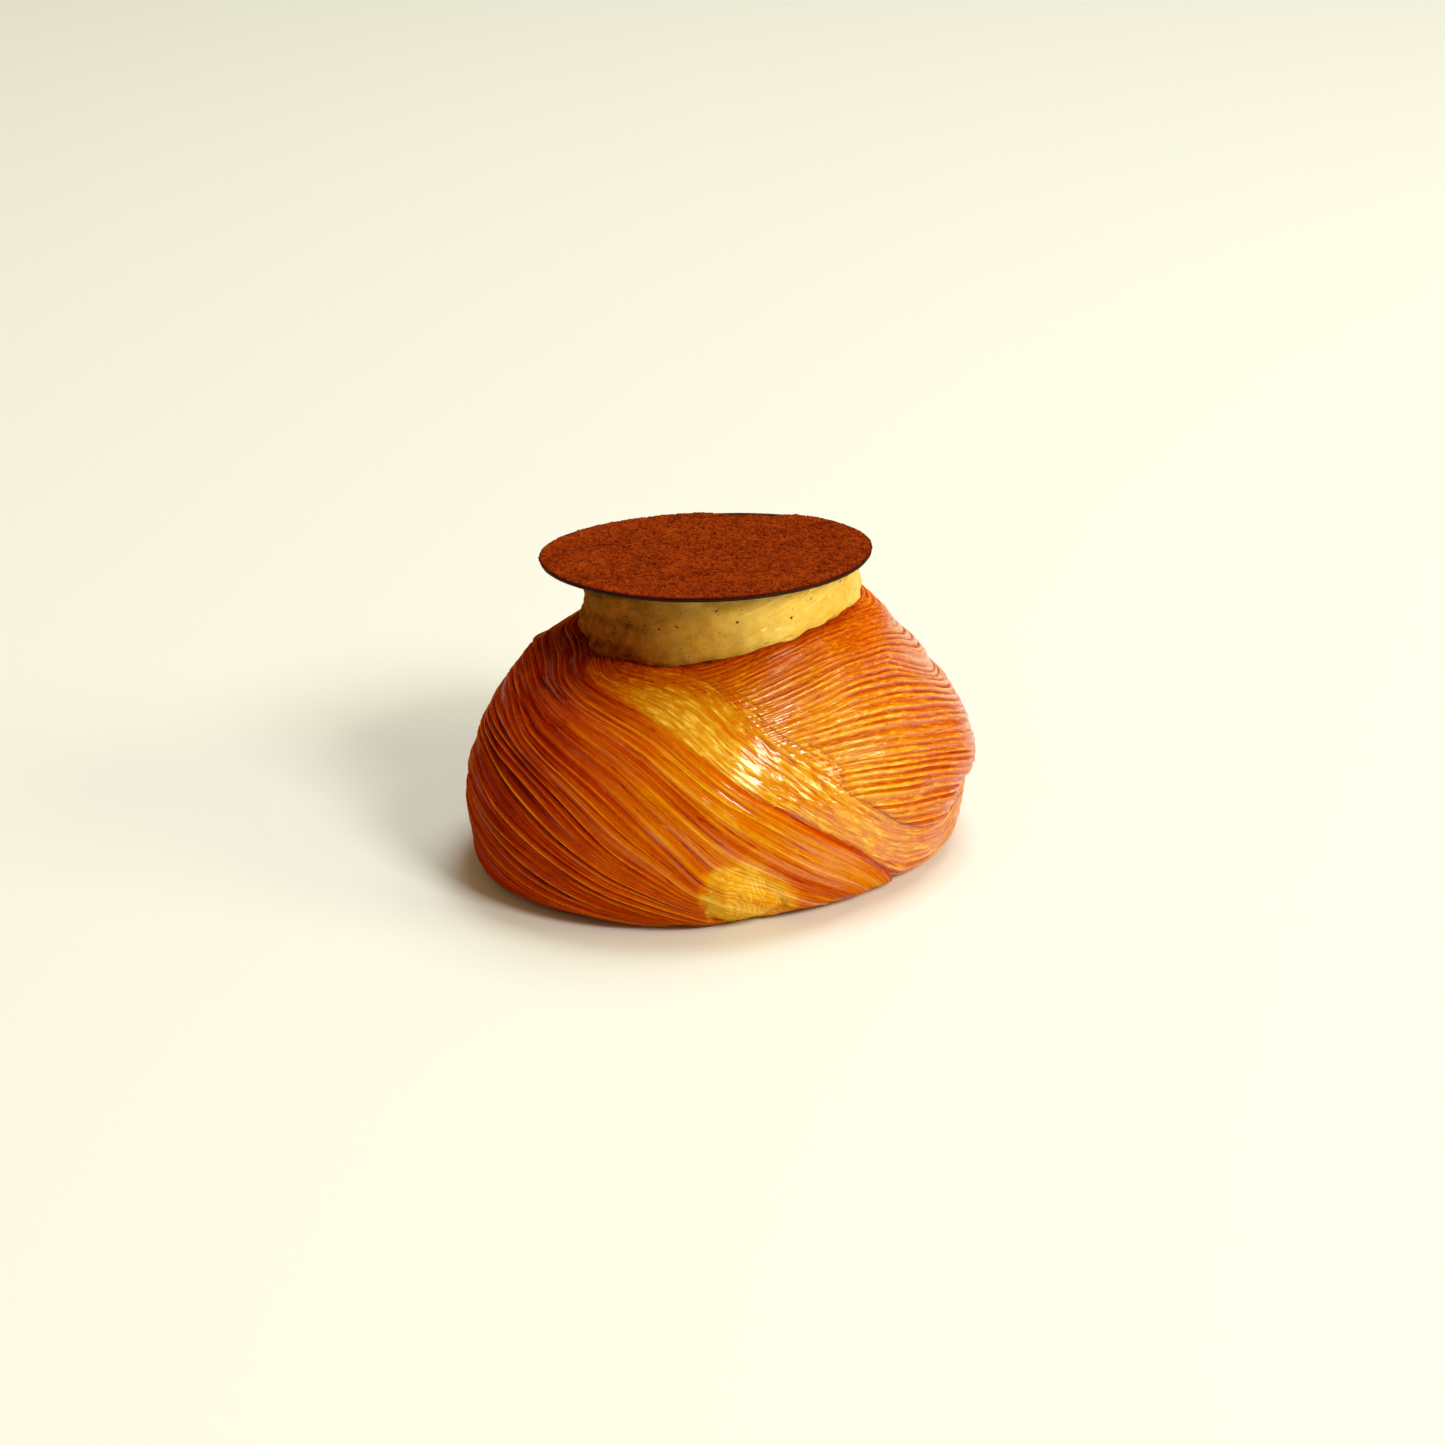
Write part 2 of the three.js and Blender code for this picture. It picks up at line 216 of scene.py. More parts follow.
def raw_mesh(name, verts, tris, quads):
    tris = np.vstack(tris) if len(tris) else np.zeros((0, 3), int)
    quads = np.vstack(quads) if len(quads) else np.zeros((0, 4), int)
    mesh = bpy.data.meshes.new(name)
    mesh.vertices.add(len(verts))
    mesh.vertices.foreach_set("co", (verts * MM).astype(np.float32).ravel())
    corners = np.concatenate([quads.ravel(), tris.ravel()])
    mesh.loops.add(len(corners))
    mesh.loops.foreach_set("vertex_index", corners.astype(np.int32))
    sizes = np.concatenate([np.full(len(quads), 4), np.full(len(tris), 3)])
    starts = np.concatenate([[0], np.cumsum(sizes)[:-1]])
    mesh.polygons.add(len(sizes))
    mesh.polygons.foreach_set("loop_start", starts.astype(np.int32))
    mesh.polygons.foreach_set("loop_total", sizes.astype(np.int32))
    mesh.polygons.foreach_set("use_smooth", np.ones(len(sizes), bool))
    mesh.update(calc_edges=True)
    mesh.validate()
    obj = bpy.data.objects.new(name, mesh)
    scene.collection.objects.link(obj)
    return obj


def add_scalar(obj, name, values):
    a = obj.data.attributes.new(name, "FLOAT", "POINT")
    a.data.foreach_set("value", np.asarray(values, np.float32).ravel())


def add_vector(obj, name, values):
    a = obj.data.attributes.new(name, "FLOAT_VECTOR", "POINT")
    a.data.foreach_set("vector", np.asarray(values, np.float32).ravel())


class Nodes:
    """Short calls for building a node material."""

    def __init__(self, name):
        self.mat = bpy.data.materials.new(name)
        self.mat.use_nodes = True
        self.tree = self.mat.node_tree
        self.tree.nodes.clear()
        self.out = self.tree.nodes.new("ShaderNodeOutputMaterial")

    def put(self, socket, value):
        if isinstance(value, bpy.types.NodeSocket):
            self.tree.links.new(value, socket)
        else:
            socket.default_value = value

    def node(self, kind, **settings):
        n = self.tree.nodes.new(kind)
        for k, v in settings.items():
            setattr(n, k, v)
        return n

    def attribute(self, name, what="Fac"):
        return self.node("ShaderNodeAttribute", attribute_name=name).outputs[what]

    def math(self, op, a, b=None, c=None, clamp=False):
        n = self.node("ShaderNodeMath", operation=op, use_clamp=clamp)
        for i, v in enumerate((a, b, c)):
            if v is not None:
                self.put(n.inputs[i], v)
        return n.outputs[0]

    def add(self, *terms):
        total = terms[0]
        for t in terms[1:]:
            total = self.math("ADD", total, t)
        return total

    def mul(self, a, b):
        return self.math("MULTIPLY", a, b)

    def remap(self, value, lo, hi, out_lo=0.0, out_hi=1.0, kind="SMOOTHSTEP"):
        n = self.node("ShaderNodeMapRange", interpolation_type=kind)
        self.put(n.inputs["Value"], value)
        self.put(n.inputs["From Min"], lo)
        self.put(n.inputs["From Max"], hi)
        self.put(n.inputs["To Min"], out_lo)
        self.put(n.inputs["To Max"], out_hi)
        return n.outputs["Result"]

    def vector(self, x, y, z):
        n = self.node("ShaderNodeCombineXYZ")
        for s, v in zip(n.inputs, (x, y, z)):
            self.put(s, v)
        return n.outputs[0]

    def split(self, v):
        n = self.node("ShaderNodeSeparateXYZ")
        self.put(n.inputs[0], v)
        return n.outputs

    def coords(self, scale, offset=(0, 0, 0)):
        n = self.node("ShaderNodeTexCoord")
        m = self.node("ShaderNodeMapping")
        self.put(m.inputs["Vector"], n.outputs["Object"])
        m.inputs["Scale"].default_value = scale if isinstance(scale, tuple) else (scale,) * 3
        m.inputs["Location"].default_value = offset
        return m.outputs[0]

    def noise(self, vec, scale=1.0, detail=2.0, rough=0.5, distort=0.0):
        n = self.node("ShaderNodeTexNoise")
        self.put(n.inputs["Vector"], vec)
        n.inputs["Scale"].default_value = scale
        n.inputs["Detail"].default_value = detail
        n.inputs["Roughness"].default_value = rough
        n.inputs["Distortion"].default_value = distort
        return n.outputs["Fac"]

    def voronoi(self, vec, scale=1.0, feature="F1", randomness=1.0, out="Distance"):
        n = self.node("ShaderNodeTexVoronoi", feature=feature)
        self.put(n.inputs["Vector"], vec)
        n.inputs["Scale"].default_value = scale
        n.inputs["Randomness"].default_value = randomness
        return n.outputs[out]

    def ramp(self, fac, stops):
        n = self.node("ShaderNodeValToRGB")
        e = n.color_ramp.elements
        while len(e) > 1:
            e.remove(e[-1])
        for i, (pos, col) in enumerate(stops):
            s = e[0] if i == 0 else e.new(pos)
            s.position = pos
            s.color = (*col, 1)
        self.put(n.inputs[0], fac)
        return n.outputs["Color"]

    def mix(self, fac, a, b, kind="MIX"):
        n = self.node("ShaderNodeMix", data_type="RGBA", blend_type=kind)
        self.put(n.inputs[0], fac)
        self.put(n.inputs[6], a if isinstance(a, bpy.types.NodeSocket) else (*a, 1))
        self.put(n.inputs[7], b if isinstance(b, bpy.types.NodeSocket) else (*b, 1))
        return n.outputs[2]

    def bump(self, height, distance, strength=1.0, normal=None):
        n = self.node("ShaderNodeBump")
        self.put(n.inputs["Height"], height)
        n.inputs["Distance"].default_value = distance
        n.inputs["Strength"].default_value = strength
        if normal is not None:
            self.put(n.inputs["Normal"], normal)
        return n.outputs[0]

    def surface(self, **inputs):
        n = self.node("ShaderNodeBsdfPrincipled")
        for k, v in inputs.items():
            self.put(n.inputs[k.replace("_", " ")], v)
        self.tree.links.new(n.outputs[0], self.out.inputs["Surface"])
        return self.mat


def srgb(r, g, b):
    return tuple((c / 255 / 12.92) if c / 255 <= 0.04045 else ((c / 255 + 0.055) / 1.055) ** 2.4 for c in (r, g, b))


# ------------------------------------------------------------------ the bun's plain outside
def plan_radius(t):
    return MEAN_RADIUS + sum(c * np.cos((i + 1) * t) + s * np.sin((i + 1) * t) for i, (c, s) in enumerate(PLAN))


def plan_height(t):
    return BUN_HEIGHT + HEIGHT_TILT[0] * np.cos(t) + HEIGHT_TILT[1] * np.sin(t)


def outside_profile():
    k = np.linspace(0, 1, 1400)
    z = np.where(k < 0.25, WAIST * k / 0.25, WAIST + (1 - WAIST) * np.sin(np.clip((k - 0.25) / 0.75, 0, 1) * math.pi / 2))
    low = 1 - (1 - FOOT) * (np.clip((WAIST - z) / WAIST, 0, 1)) ** 2.6
    high = np.clip(1 - np.clip((z - WAIST) / (SHOULDER_APEX - WAIST), 0, 1) ** SHOULDER_POWER, 0, 1) ** (1 / SHOULDER_ROOT)
    r = np.where(z < WAIST, low, high) * MEAN_RADIUS
    h = z * BUN_HEIGHT
    f = BOTTOM_FILLET
    r = np.where(h < f, r + np.sqrt(np.clip(f * f - (f - h) ** 2, 0, None)) - f, r)
    keep = r >= RIM_RADIUS
    r, h = r[keep], h[keep]
    run = np.concatenate([[0], np.cumsum(np.hypot(np.diff(r), np.diff(h)))])
    return run / run[-1], r, h, run[-1]


PROFILE_S, PROFILE_R, PROFILE_H, PROFILE_LENGTH = outside_profile()
RIM_H = PROFILE_H[-1]


def rim_rise(t, s):
    return RIM_RISE * 0.5 * (1 + np.cos(t - RIM_RISE_AT)) * smooth((s - 0.55) / 0.45)


def outside(t, s):
    r, h = np.interp(s, PROFILE_S, PROFILE_R), np.interp(s, PROFILE_S, PROFILE_H)
    w = smooth((s - 0.55) / 0.45)
    radius = plan_radius(t) * r / MEAN_RADIUS * (1 - w) + r * w
    return np.stack([radius * np.cos(t), radius * np.sin(t), plan_height(t) * h / BUN_HEIGHT + rim_rise(t, s)], -1)


# ------------------------------------------------------------------ strands and layers of the bun
NT, NS = ((1536, 330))
t_deg = -180 + 360 * np.arange(NT) / NT
s_row = np.linspace(0, 1, NS)
ct = np.linspace(-180, 180, 361)
cs = np.linspace(0, 1, 91)
WT, WS = cubic_rows(ct, t_deg), cubic_rows(cs, s_row)
CT, CS = np.meshgrid(ct, cs, indexing="ij")
to_fine = lambda field: WT @ field @ WS.T  # from the coarse grid to every point of the outside
DEG = 0.75  # millimetres per degree that the strand fields are fitted with


def strand_field(guides):
    pts = [(a * DEG, s * PROFILE_LENGTH) for _, g in guides for a, s in g]
    vals = [v for v, g in guides for _ in g]
    return thin_plate(pts, vals, 60.0)


band = strand_field(BAND_GUIDES)
under = strand_field(UNDER_GUIDES)
v_front = to_fine(band((CT + 360) * DEG, CS * PROFILE_LENGTH))  # the strand's end, which comes down over the front
v_side = to_fine(band(CT * DEG, CS * PROFILE_LENGTH))
v_under = to_fine(under(CT * DEG, CS * PROFILE_LENGTH))

T, S = np.meshgrid(np.radians(t_deg), s_row, indexing="ij")
TD = np.degrees(T)
base_coarse = outside(np.radians(CT), CS)


def line_distance(line, closed=False):
    """Distance in millimetres from each coarse point to a line drawn on the outside."""
    line = np.array(line + (line[:1] if closed else []), float)
    run = np.concatenate([[0], np.cumsum(np.hypot(np.diff(line[:, 0]) * 0.8, np.diff(line[:, 1]) * PROFILE_LENGTH))])
    k = np.arange(0, run[-1], 0.5)
    p = outside(np.radians(np.interp(k, run, line[:, 0])), np.interp(k, run, line[:, 1]))
    flat = base_coarse.reshape(-1, 3)
    d = np.empty(len(flat))
    for i in range(0, len(flat), 4000):
        d[i : i + 4000] = np.sqrt(((flat[i : i + 4000, None] - p[None]) ** 2).sum(2)).min(1)
    return d.reshape(CT.shape)


crease = np.array(CREASE)
overlap = np.array(OVERLAP)
crease_at = np.interp(CS, crease[::-1, 1], crease[::-1, 0])
d_crease = line_distance(CREASE) * np.where(CT < crease_at, 1, -1)
overlap_at = np.interp(CT, overlap[:, 0], overlap[:, 1], left=2.0, right=-1.0)
d_overlap = line_distance(OVERLAP) * np.where(CS > overlap_at, 1, -1)
d_overlap = np.where(CT > 155, 60.0, np.where(CT < -115, -60.0, d_overlap))
d_crease, d_overlap = to_fine(d_crease), to_fine(d_overlap)
d_overlap = np.where(TD > 158, 60.0, d_overlap)

tail = np.array(TAIL)
tail_mm = np.stack([(tail[:, 0] + 84.5) * 0.82, (tail[:, 1] - 0.185) * PROFILE_LENGTH], 1)
tx, ty = (TD + 84.5) * 0.82, (S - 0.185) * PROFILE_LENGTH
tail_ang = np.arctan2(tail_mm[:, 1], tail_mm[:, 0])
order = np.argsort(tail_ang)
ang = np.concatenate([tail_ang[order] - 2 * math.pi, tail_ang[order], tail_ang[order] + 2 * math.pi])
rad = np.tile(np.hypot(tail_mm[:, 0], tail_mm[:, 1])[order], 3)
d_tail = np.interp(np.arctan2(ty, tx), ang, rad) - np.hypot(tx, ty)  # above zero inside the tucked end


def turn(a, b):
    return (a - b + 180) % 360 - 180


# Broad swellings and hollows of the strands: plan angle, share, spread in degrees, spread in share, height.
SWELLS = [(4, 0.46, 22, 0.12, 1.3), (-3, 0.285, 13, 0.045, -1.3), (22, 0.93, 22, 0.09, 1.0), (-152, 0.12, 22, 0.10, 0.7),
          (178, 0.82, 20, 0.10, 0.9), (-60, 0.98, 30, 0.09, 1.8), (-52, 0.60, 9, 0.07, -0.7), (-92, 0.24, 6, 0.10, 0.4)]
swell = np.zeros(T.shape)
for a, s, wa, ws, h in SWELLS:
    swell += h * np.exp(-((turn(TD, a) / wa) ** 2) - ((S - s) / ws) ** 2)
# How much fuller or leaner the bun is than its plain body: plan angle, share, height.
FULLNESS = [(161, .80, -1.5), (174, .80, -1.0), (-180, .75, -.1), (178, .62, -.4), (-174, .54, -1.4), (-169, .48, -.8), (-166, .43, -.5), (-166, .33, -.2), (-167, .24, -.5), (-157, .22, -.8), (-158, .14, -.5),
            (-150, .10, .2), (-140, .08, .3), (-133, .07, .3), (27, .88, -.8), (18, .85, -1.1), (24, .77, -1.1), (25, .70, -1.4), (20, .69, -1.6), (18, .66, -1.5), (23, .57, -1.5), (20, .55, -1.9), (16, .53, -2.1),
            (14, .50, -2.4), (10, .49, -2.6), (7, .47, -2.2), (6, .44, -1.8), (5, .41, -1.3), (5, .36, -.6), (-2, .35, -.5), (3, .25, -.6), (0, .21, -1.8), (0, .15, -1.8), (-5, .13, -1.0), (-11, .12, -.5),
            (-15, .11, -.2), (-26, .08, 0), (-33, .07, 0), (-40, .09, -.7), (-48, .08, -.9), (-59, .07, -.5), (-90, .5, 0), (-120, .5, 0), (-60, .5, 0), (-100, .2, 0), (-75, .3, 0), (-45, .45, -.2),
            (-50, .7, -.2), (-75, .85, 0), (-110, .85, 0), (-90, .05, 0), (90, .3, -.4), (90, .6, -.6), (90, .9, -.3), (130, .5, -.5), (130, .15, -.3), (50, .2, -.9), (48, .5, -1.5), (60, .75, -1.0),
            (90, .05, -.2), (130, .85, -.8), (-20, .55, -1.0), (-20, .8, -.5), (-20, .3, -.5), (-110, 1.0, 0), (-40, 1.0, 0), (30, 1.0, 0), (100, 1.0, 0), (170, 1.0, 0)]
around = [(a + o, s, h) for a, s, h in FULLNESS for o in (-360, 0, 360) if -260 < a + o < 260]


def joined_round(field):
    """The field at every coarse point, blended over the back so that its two ends agree."""
    return sum(field((CT + o) * DEG) * smooth((220 - np.abs(CT + o)) / 80) for o in (-360, 0, 360))


full = thin_plate([(a * DEG, s * PROFILE_LENGTH) for a, s, _ in around], [h for _, _, h in around], 40.0)
swell += to_fine(np.clip(joined_round(lambda x: full(x, CS * PROFILE_LENGTH)), -3, 1.5))


def round_table(table, width=0.0):
    """Values at plan angles, joined smoothly all the way round."""
    k = np.array(table, float)
    out = np.interp(t_deg, k[:, 0], k[:, 1])
    w = np.exp(-((np.arange(-24, 25) / 10.0) ** 2))
    w /= w.sum()
    step = 2 if NT > 1000 else 1
    return sum(wk * np.roll(out, (i - 24) * step) for i, wk in enumerate(w))


# The rim dips where the strand starts and stands higher on the other side. Plan angle, height.
rim_lift = round_table([(-180, -4.4), (-168, -4.6), (-155, -4.6), (-142, -4.4), (-124, -3.4), (-108, -2.5), (-95, -1.8), (-82, -.9), (-66, .1), (-52, 1.3), (-38, 2.1), (-20, 2.7), (0, 2.7), (20, 2.2), (50, 1.0), (90, 0),
                        (130, -1.6), (160, -3.4), (179.9, -4.4)])
foot_push = round_table([(-180, 0), (-162, .1), (-150, .5), (-135, .5), (-124, -.2), (-111, -.7), (-95, -.9), (-80, -.3), (-68, -.2), (-58, -.3), (-48, -.5), (-40, -.4), (-30, -.1), (-15, 0), (179.9, 0)])


def ridged(x, y, seed):
    return 1 - np.abs(2 * noise(x, y, seed) - 1)


def fibres(u, v, length, width, seed):
    """Broken, merging ridges that run along a strand, from 0 to 1."""
    vv = v + 0.9 * width * (noise(u / (0.8 * length), v / (3 * width), seed + 1) - 0.5)
    return ridged(u / length + 0.37 * v, vv / width, seed)


def sheets(v, u, seed, width, jitter, wiggle):
    """Layers of dough seen edge on. Returns the running layer number, the distance from the nearest edge in layers,
    how strong that edge is, how deep the groove beyond it is, and how high the layer on each side stands."""
    vv = v + jitter * (noise(u / 26, v / 7, seed) - 0.5) * 2 + 0.8 * wiggle * jitter * (noise(u / 10, v / 3.1, seed + 1) - 0.5)
    p = vv / width + 0.62 * (noise(vv / width / 2.1, 0 * vv + 3.5, seed + 2) - 0.5) + 0.30 * (noise(vv / width / 0.9, u / 40, seed + 12) - 0.5)
    k = np.round(p)
    d = p - k
    cluster = smooth((noise(u / 46, vv / 6.0, seed + 40) - 0.30) / 0.30)
    strength = (0.40 + 0.60 * cluster) * (0.12 + 0.88 * smooth((noise(u / (26 - 11 * wiggle) + k * 5.37, k * 9.1, seed + 3) - 0.22) / 0.5))
    kb = np.floor(p)
    groove = (0.55 + 0.45 * cluster) * (0.32 + 0.68 * smooth((noise(u / 12 + kb * 3.91, kb * 7.7, seed + 21) - 0.25) / 0.45))
    level_before = noise(u / 30, (k - 1) * 3.7, seed + 4) - 0.5
    level_after = noise(u / 30, k * 3.7, seed + 4) - 0.5
    return p, d, strength, groove, level_before, level_after


def layer_relief(v, u, seed, width, jitter, sharp, wiggle):
    """Relief in millimetres of stacked sheets. sharp = 1 gives thin raised edges with a drop behind them, 0 rounded bands with narrow grooves."""
    p, d, strength, groove, before, after = sheets(v, u, seed, width, jitter, wiggle)
    dm = d * width
    step = smooth((dm + 0.1) / 0.45)
    edge = np.exp(-((dm + 0.05) / np.where(dm < -0.05, 0.42, 0.20)) ** 2)
    saw = d - (step - 0.5)  # rises towards the next edge and drops just after it
    thin = strength * (0.42 * edge + 0.80 * saw) + 0.35 * (before + (after - before) * step)
    cut = np.exp(-(((0.5 - np.abs(d)) * width / 0.40) ** 2)) * groove
    round_ = 0.62 * (1 - cut) + 0.30 * (0.5 + 0.5 * np.cos(2 * math.pi * d)) * groove + 0.25 * (before + (after - before) * step)
    relief = sharp * thin + (1 - sharp) * round_
    crest = sharp * strength * edge + (1 - sharp) * groove * smooth((np.cos(2 * math.pi * d) + 0.25) / 1.0)
    # hollow marks the grooves and the drop just past each edge; the colour is darkened there, partly the darker baked
    # troughs and partly painted shade
    hollow = sharp * strength * smooth((dm - 0.12) / 0.16) * np.exp(-np.clip(dm - 0.3, 0, None) / 0.55) + (1 - sharp) * cut
    return relief, crest, hollow, p


def strand(v, t_deg_, seed, width, jitter, sharp, gain, calm, wiggle=1.0, rough=0.10):
    """One strand's relief. gain scales its layers, calm (0 to 1) turns them into fine streaks, and rough is the height of the finest ones."""
    u = t_deg_ * 0.8
    relief, crest, hollow, p = layer_relief(v, u, seed, width, jitter, sharp, wiggle)
    long_ = fibres(u, v, 30.0 - 14.0 * wiggle, 1.5, seed + 31)
    fine = fibres(u, v, 18.0 - 11.0 * wiggle, 0.62, seed + 7)
    grit = (noise(u / 1.3, v / 0.8, seed + 17) - 0.5) * (0.4 + 0.6 * wiggle)
    broad = noise(u / 45, v / 5.5, seed + 8) - 0.5
    h = gain * (1 - 0.85 * calm) * 0.62 * relief + (0.4 + 6.0 * rough) * (0.10 + 0.10 * calm) * (long_ - 0.5) + rough * (fine - 0.5) + 0.5 * rough * grit + 0.9 * broad * (0.35 + 0.65 * gain)
    crest = crest * (1 - 0.8 * calm) + calm * 0.6 * smooth((long_ - 0.62) / 0.3)
    hollow = hollow * (1 - 0.75 * calm) + calm * 0.7 * smooth((0.30 - long_) / 0.25)
    return h, crest, hollow, p, u


left = smooth((d_crease - 8) / 22)  # how far round the left side
td_front = np.where(TD < -28, TD + 360, TD)
v_main = np.where(TD < -28, v_front, v_side)
round_back = smooth((td_front - 40) / 110)
meet = smooth((-TD - 138) / 42)  # nears 1 where the front strand meets its own run round the back
left = np.maximum(left, meet)
sharp_main = np.where(TD < -28, 0.35 + 0.65 * left, round_back)
vB = v_side
gain_main = np.where(TD < -28, 0.42 + 0.58 * left, 0.85 + 0.15 * round_back)
gain_main *= 1 - 0.75 * (1 - meet) * np.exp(-np.clip(d_crease, 0, None) / 2.5) * (TD < -28)
near_top = smooth((S - 0.72) / 0.22)
gain_main *= 1 - 0.45 * near_top * (1 - meet) * (TD < -28)
jitter_main = np.where(TD < -28, 1.5, 0.7 + 0.8 * round_back)
wiggle_main = np.where(TD < -28, 0.15, 0.15 + 0.15 * (1 - round_back))
hA, crestA, hollowA, pA, uA = strand(v_main, td_front, 11, 1.9, jitter_main, sharp_main, gain_main, np.where(TD < -28, 0.70 * (1 - left), 0.0), wiggle_main, 0.045)
top_side = smooth((S - 0.86) / 0.12)
hB, crestB, hollowB, pB, uB = strand(v_side, TD, 11, 1.9, 0.7, np.zeros(T.shape), 1.15 - 0.55 * top_side, 0.05 + 0.4 * top_side, 0.30, 0.05)
low_right = smooth((TD + 40) / 40)
hC, crestC, hollowC, pC, uC = strand(v_under, TD, 29, 1.5, 1.0, np.zeros(T.shape), 0.30 + 0.5 * low_right, 0.92 - 0.35 * low_right, 1.0, 0.02 + 0.05 * low_right)
# the under strand's skin is broken into short glossy streaks; their crests are also made paler in the colour, partly
# pale crust flakes and partly painted highlight
chips = noise(uC / 3.4, v_under / 0.95 + 0.5 * (noise(uC / 3.0, v_under / 3.0, 49) - 0.5), 47)
dimples = noise(uC / 1.9, v_under / 1.15, 48) - 0.5
hC += (0.21 * (chips - 0.5) + 0.11 * dimples) * (1 - 0.4 * near_top)
crestC = np.maximum(crestC, 0.9 * smooth((chips - 0.60) / 0.16) * (1 - 0.6 * near_top))
use_main = TD >= -28
carry = smooth((TD + 28) / 60)
pB = np.where(TD > 20, pA, pB)
hB, crestB, hollowB = (np.where(use_main, a * carry + b * (1 - carry), b) for a, b in ((hA, hB), (crestA, crestB), (hollowA, hollowB)))

# which strand is on top
firm = smooth((TD + 62) / 16) * (1 - smooth((TD - 105) / 45))  # where the second strand has a real edge over the one below
soft = 5.5 * (1 - firm) + 0.45 * firm
w_over = smooth(0.5 + 0.5 * (d_overlap + 1.6 * (noise(uC / 4.0, v_under / 1.1, 77) - 0.5) * (1 - firm) * 2.5) / soft)
w_over = np.where(TD < -112, 0.0, w_over)
w_front = np.where(TD < -28, smooth(0.5 + 0.5 * (d_crease + 0.5 * (noise(uC / 4, 0 * uC, 5) - 0.5)) / (0.30 + 1.6 * smooth((S - 0.55) / 0.25))), 0.0)
w_tail = smooth(0.5 + 0.5 * (d_tail + 1.3 * (noise(TD / 2.2, S * 30, 41) - 0.5)) / (0.4 + 1.1 * smooth((S - 0.12) / 0.1)))

dj = np.clip(d_overlap, 0, None)
rise_over = firm * 1.0 * (1 - np.exp(-(dj + 0.1) / 0.9)) * np.exp(-dj / 15)
dc = np.clip(d_crease, 0, None)
edge_share = 0.18 + 0.82 * smooth((0.68 - S) / 0.28)  # the front strand's edge stands up low down and melts away near the cream
rise_front = edge_share * (1.25 * (1 - np.exp(-(dc + 0.15) / 0.75)) * np.exp(-dc / 11) + 0.5 * np.exp(-(((dc - 7) / 4.5) ** 2))) * smooth((S + 0.02) / 0.12) * (1 - meet)
sink_under = -0.45 * edge_share * np.exp(-np.clip(-d_crease, 0, None) / 1.3) * (d_crease < 0.4)
h_top = swell + (1 - w_front) * ((1 - w_over) * (hC + sink_under) + w_over * (hB + rise_over)) + w_front * (hA + rise_front)

# the tucked end of the dough: a paler patch of rings
tail_r = np.hypot((TD + 88.5) * 0.82 + 0.8 * (noise(TD / 4, S * 14, 57) - 0.5), (S - 0.135) * PROFILE_LENGTH * 0.62 + 0.8 * (noise(TD / 4, S * 14, 58) - 0.5))
tail_phase = tail_r / 0.85 + 1.5 * (noise(TD / 5, S * 12, 51) - 0.5) + 1.0 * (noise(TD / 1.8, S * 34, 52) - 0.5)
tail_rings = (0.5 + 0.5 * np.cos(2 * math.pi * tail_phase)) * (0.15 + 0.85 * smooth((noise(TD / 3.0, S * 22, 55) - 0.3) / 0.4))
h_tail = swell + 1.05 * smooth(d_tail / 5) + 0.09 * tail_rings + 0.26 * (noise(TD / 1.0, S * 46, 54) - 0.5) + 0.5 * (noise(TD / 3.2, S * 17, 56) - 0.5) - 0.15
groove = -0.30 * np.exp(-((d_tail / 0.6) ** 2)) * smooth((0.20 - S) / 0.1 + 0.35)
h_all = h_top * (1 - w_tail) + h_tail * w_tail + groove

# a bite-sized gap in the bottom edge
gap_mm = np.hypot((TD + 73.5) * 0.83, S * PROFILE_LENGTH - 1.0)
h_all -= 2.4 * np.exp(-((gap_mm / 1.25) ** 2))
foot_fade = smooth(S / 0.035)
h_all = h_all * foot_fade

base = outside(T, S)
du = np.roll(base, -1, 0) - np.roll(base, 1, 0)
ds = np.gradient(base, axis=1)
normal = np.cross(du, ds)
normal /= np.linalg.norm(normal, axis=2, keepdims=True)
pts = base + normal * h_all[..., None]
pts[..., 2] += rim_lift[:, None] * smooth((S - 0.68) / 0.32)
pts[..., 0] += foot_push[:, None] * (1 - smooth(S / 0.10)) * np.cos(T)
pts[..., 1] += foot_push[:, None] * (1 - smooth(S / 0.10)) * np.sin(T)
# the rim is ragged: torn layers stand up a little round the cream
rim_rag = smooth((S - 0.955) / 0.045)
rag = (noise(TD / 4.3, 0 * S + 0.5, 61) - 0.5) * 0.8 + (noise(TD / 1.5, 0 * S + 0.5, 62) - 0.5) * 0.3
pts[..., 2] += rim_rag * rag
pts[..., 2] = np.where(S <= 0, 0.0, np.maximum(pts[..., 2], 0.02 + 0.6 * S))

# ------------------------------------------------------------------ how far each place is baked, and what the shader needs
# plan angle, share, and how brown the crust is there, from 0 (pale) to 1 (dark)
BAKED = [(-165, 0.50, 0.80), (-150, 0.60, 0.76), (-150, 0.30, 0.80), (-140, 0.15, 0.78), (-120, 0.08, 0.72), (-100, 0.08, 0.64), (-130, 0.45, 0.74), (-120, 0.30, 0.74),
         (-110, 0.50, 0.51), (-103, 0.35, 0.53), (-96, 0.50, 0.44), (-85, 0.38, 0.48), (-75, 0.28, 0.50), (-60, 0.18, 0.48), (-50, 0.10, 0.50), (-150, 0.85, 0.86), (-125, 0.70, 0.68),
         (-175, 0.75, 0.84), (-110, 0.62, 0.62), (-98, 0.22, 0.66), (-70, 0.06, 0.55), (-85, 0.03, 0.60)]
BAKED_UNDER = [(-108, 0.86, 0.22), (-95, 0.80, 0.19), (-88, 0.74, 0.29), (-80, 0.65, 0.36), (-70, 0.52, 0.36), (-60, 0.43, 0.36), (-50, 0.30, 0.34), (-40, 0.20, 0.38),
               (-25, 0.15, 0.44), (-10, 0.20, 0.44), (10, 0.12, 0.48), (60, 0.10, 0.56), (120, 0.05, 0.64), (-120, 0.95, 0.64), (-100, 0.97, 0.66), (-35, 0.04, 0.52), (0, 0.03, 0.56)]
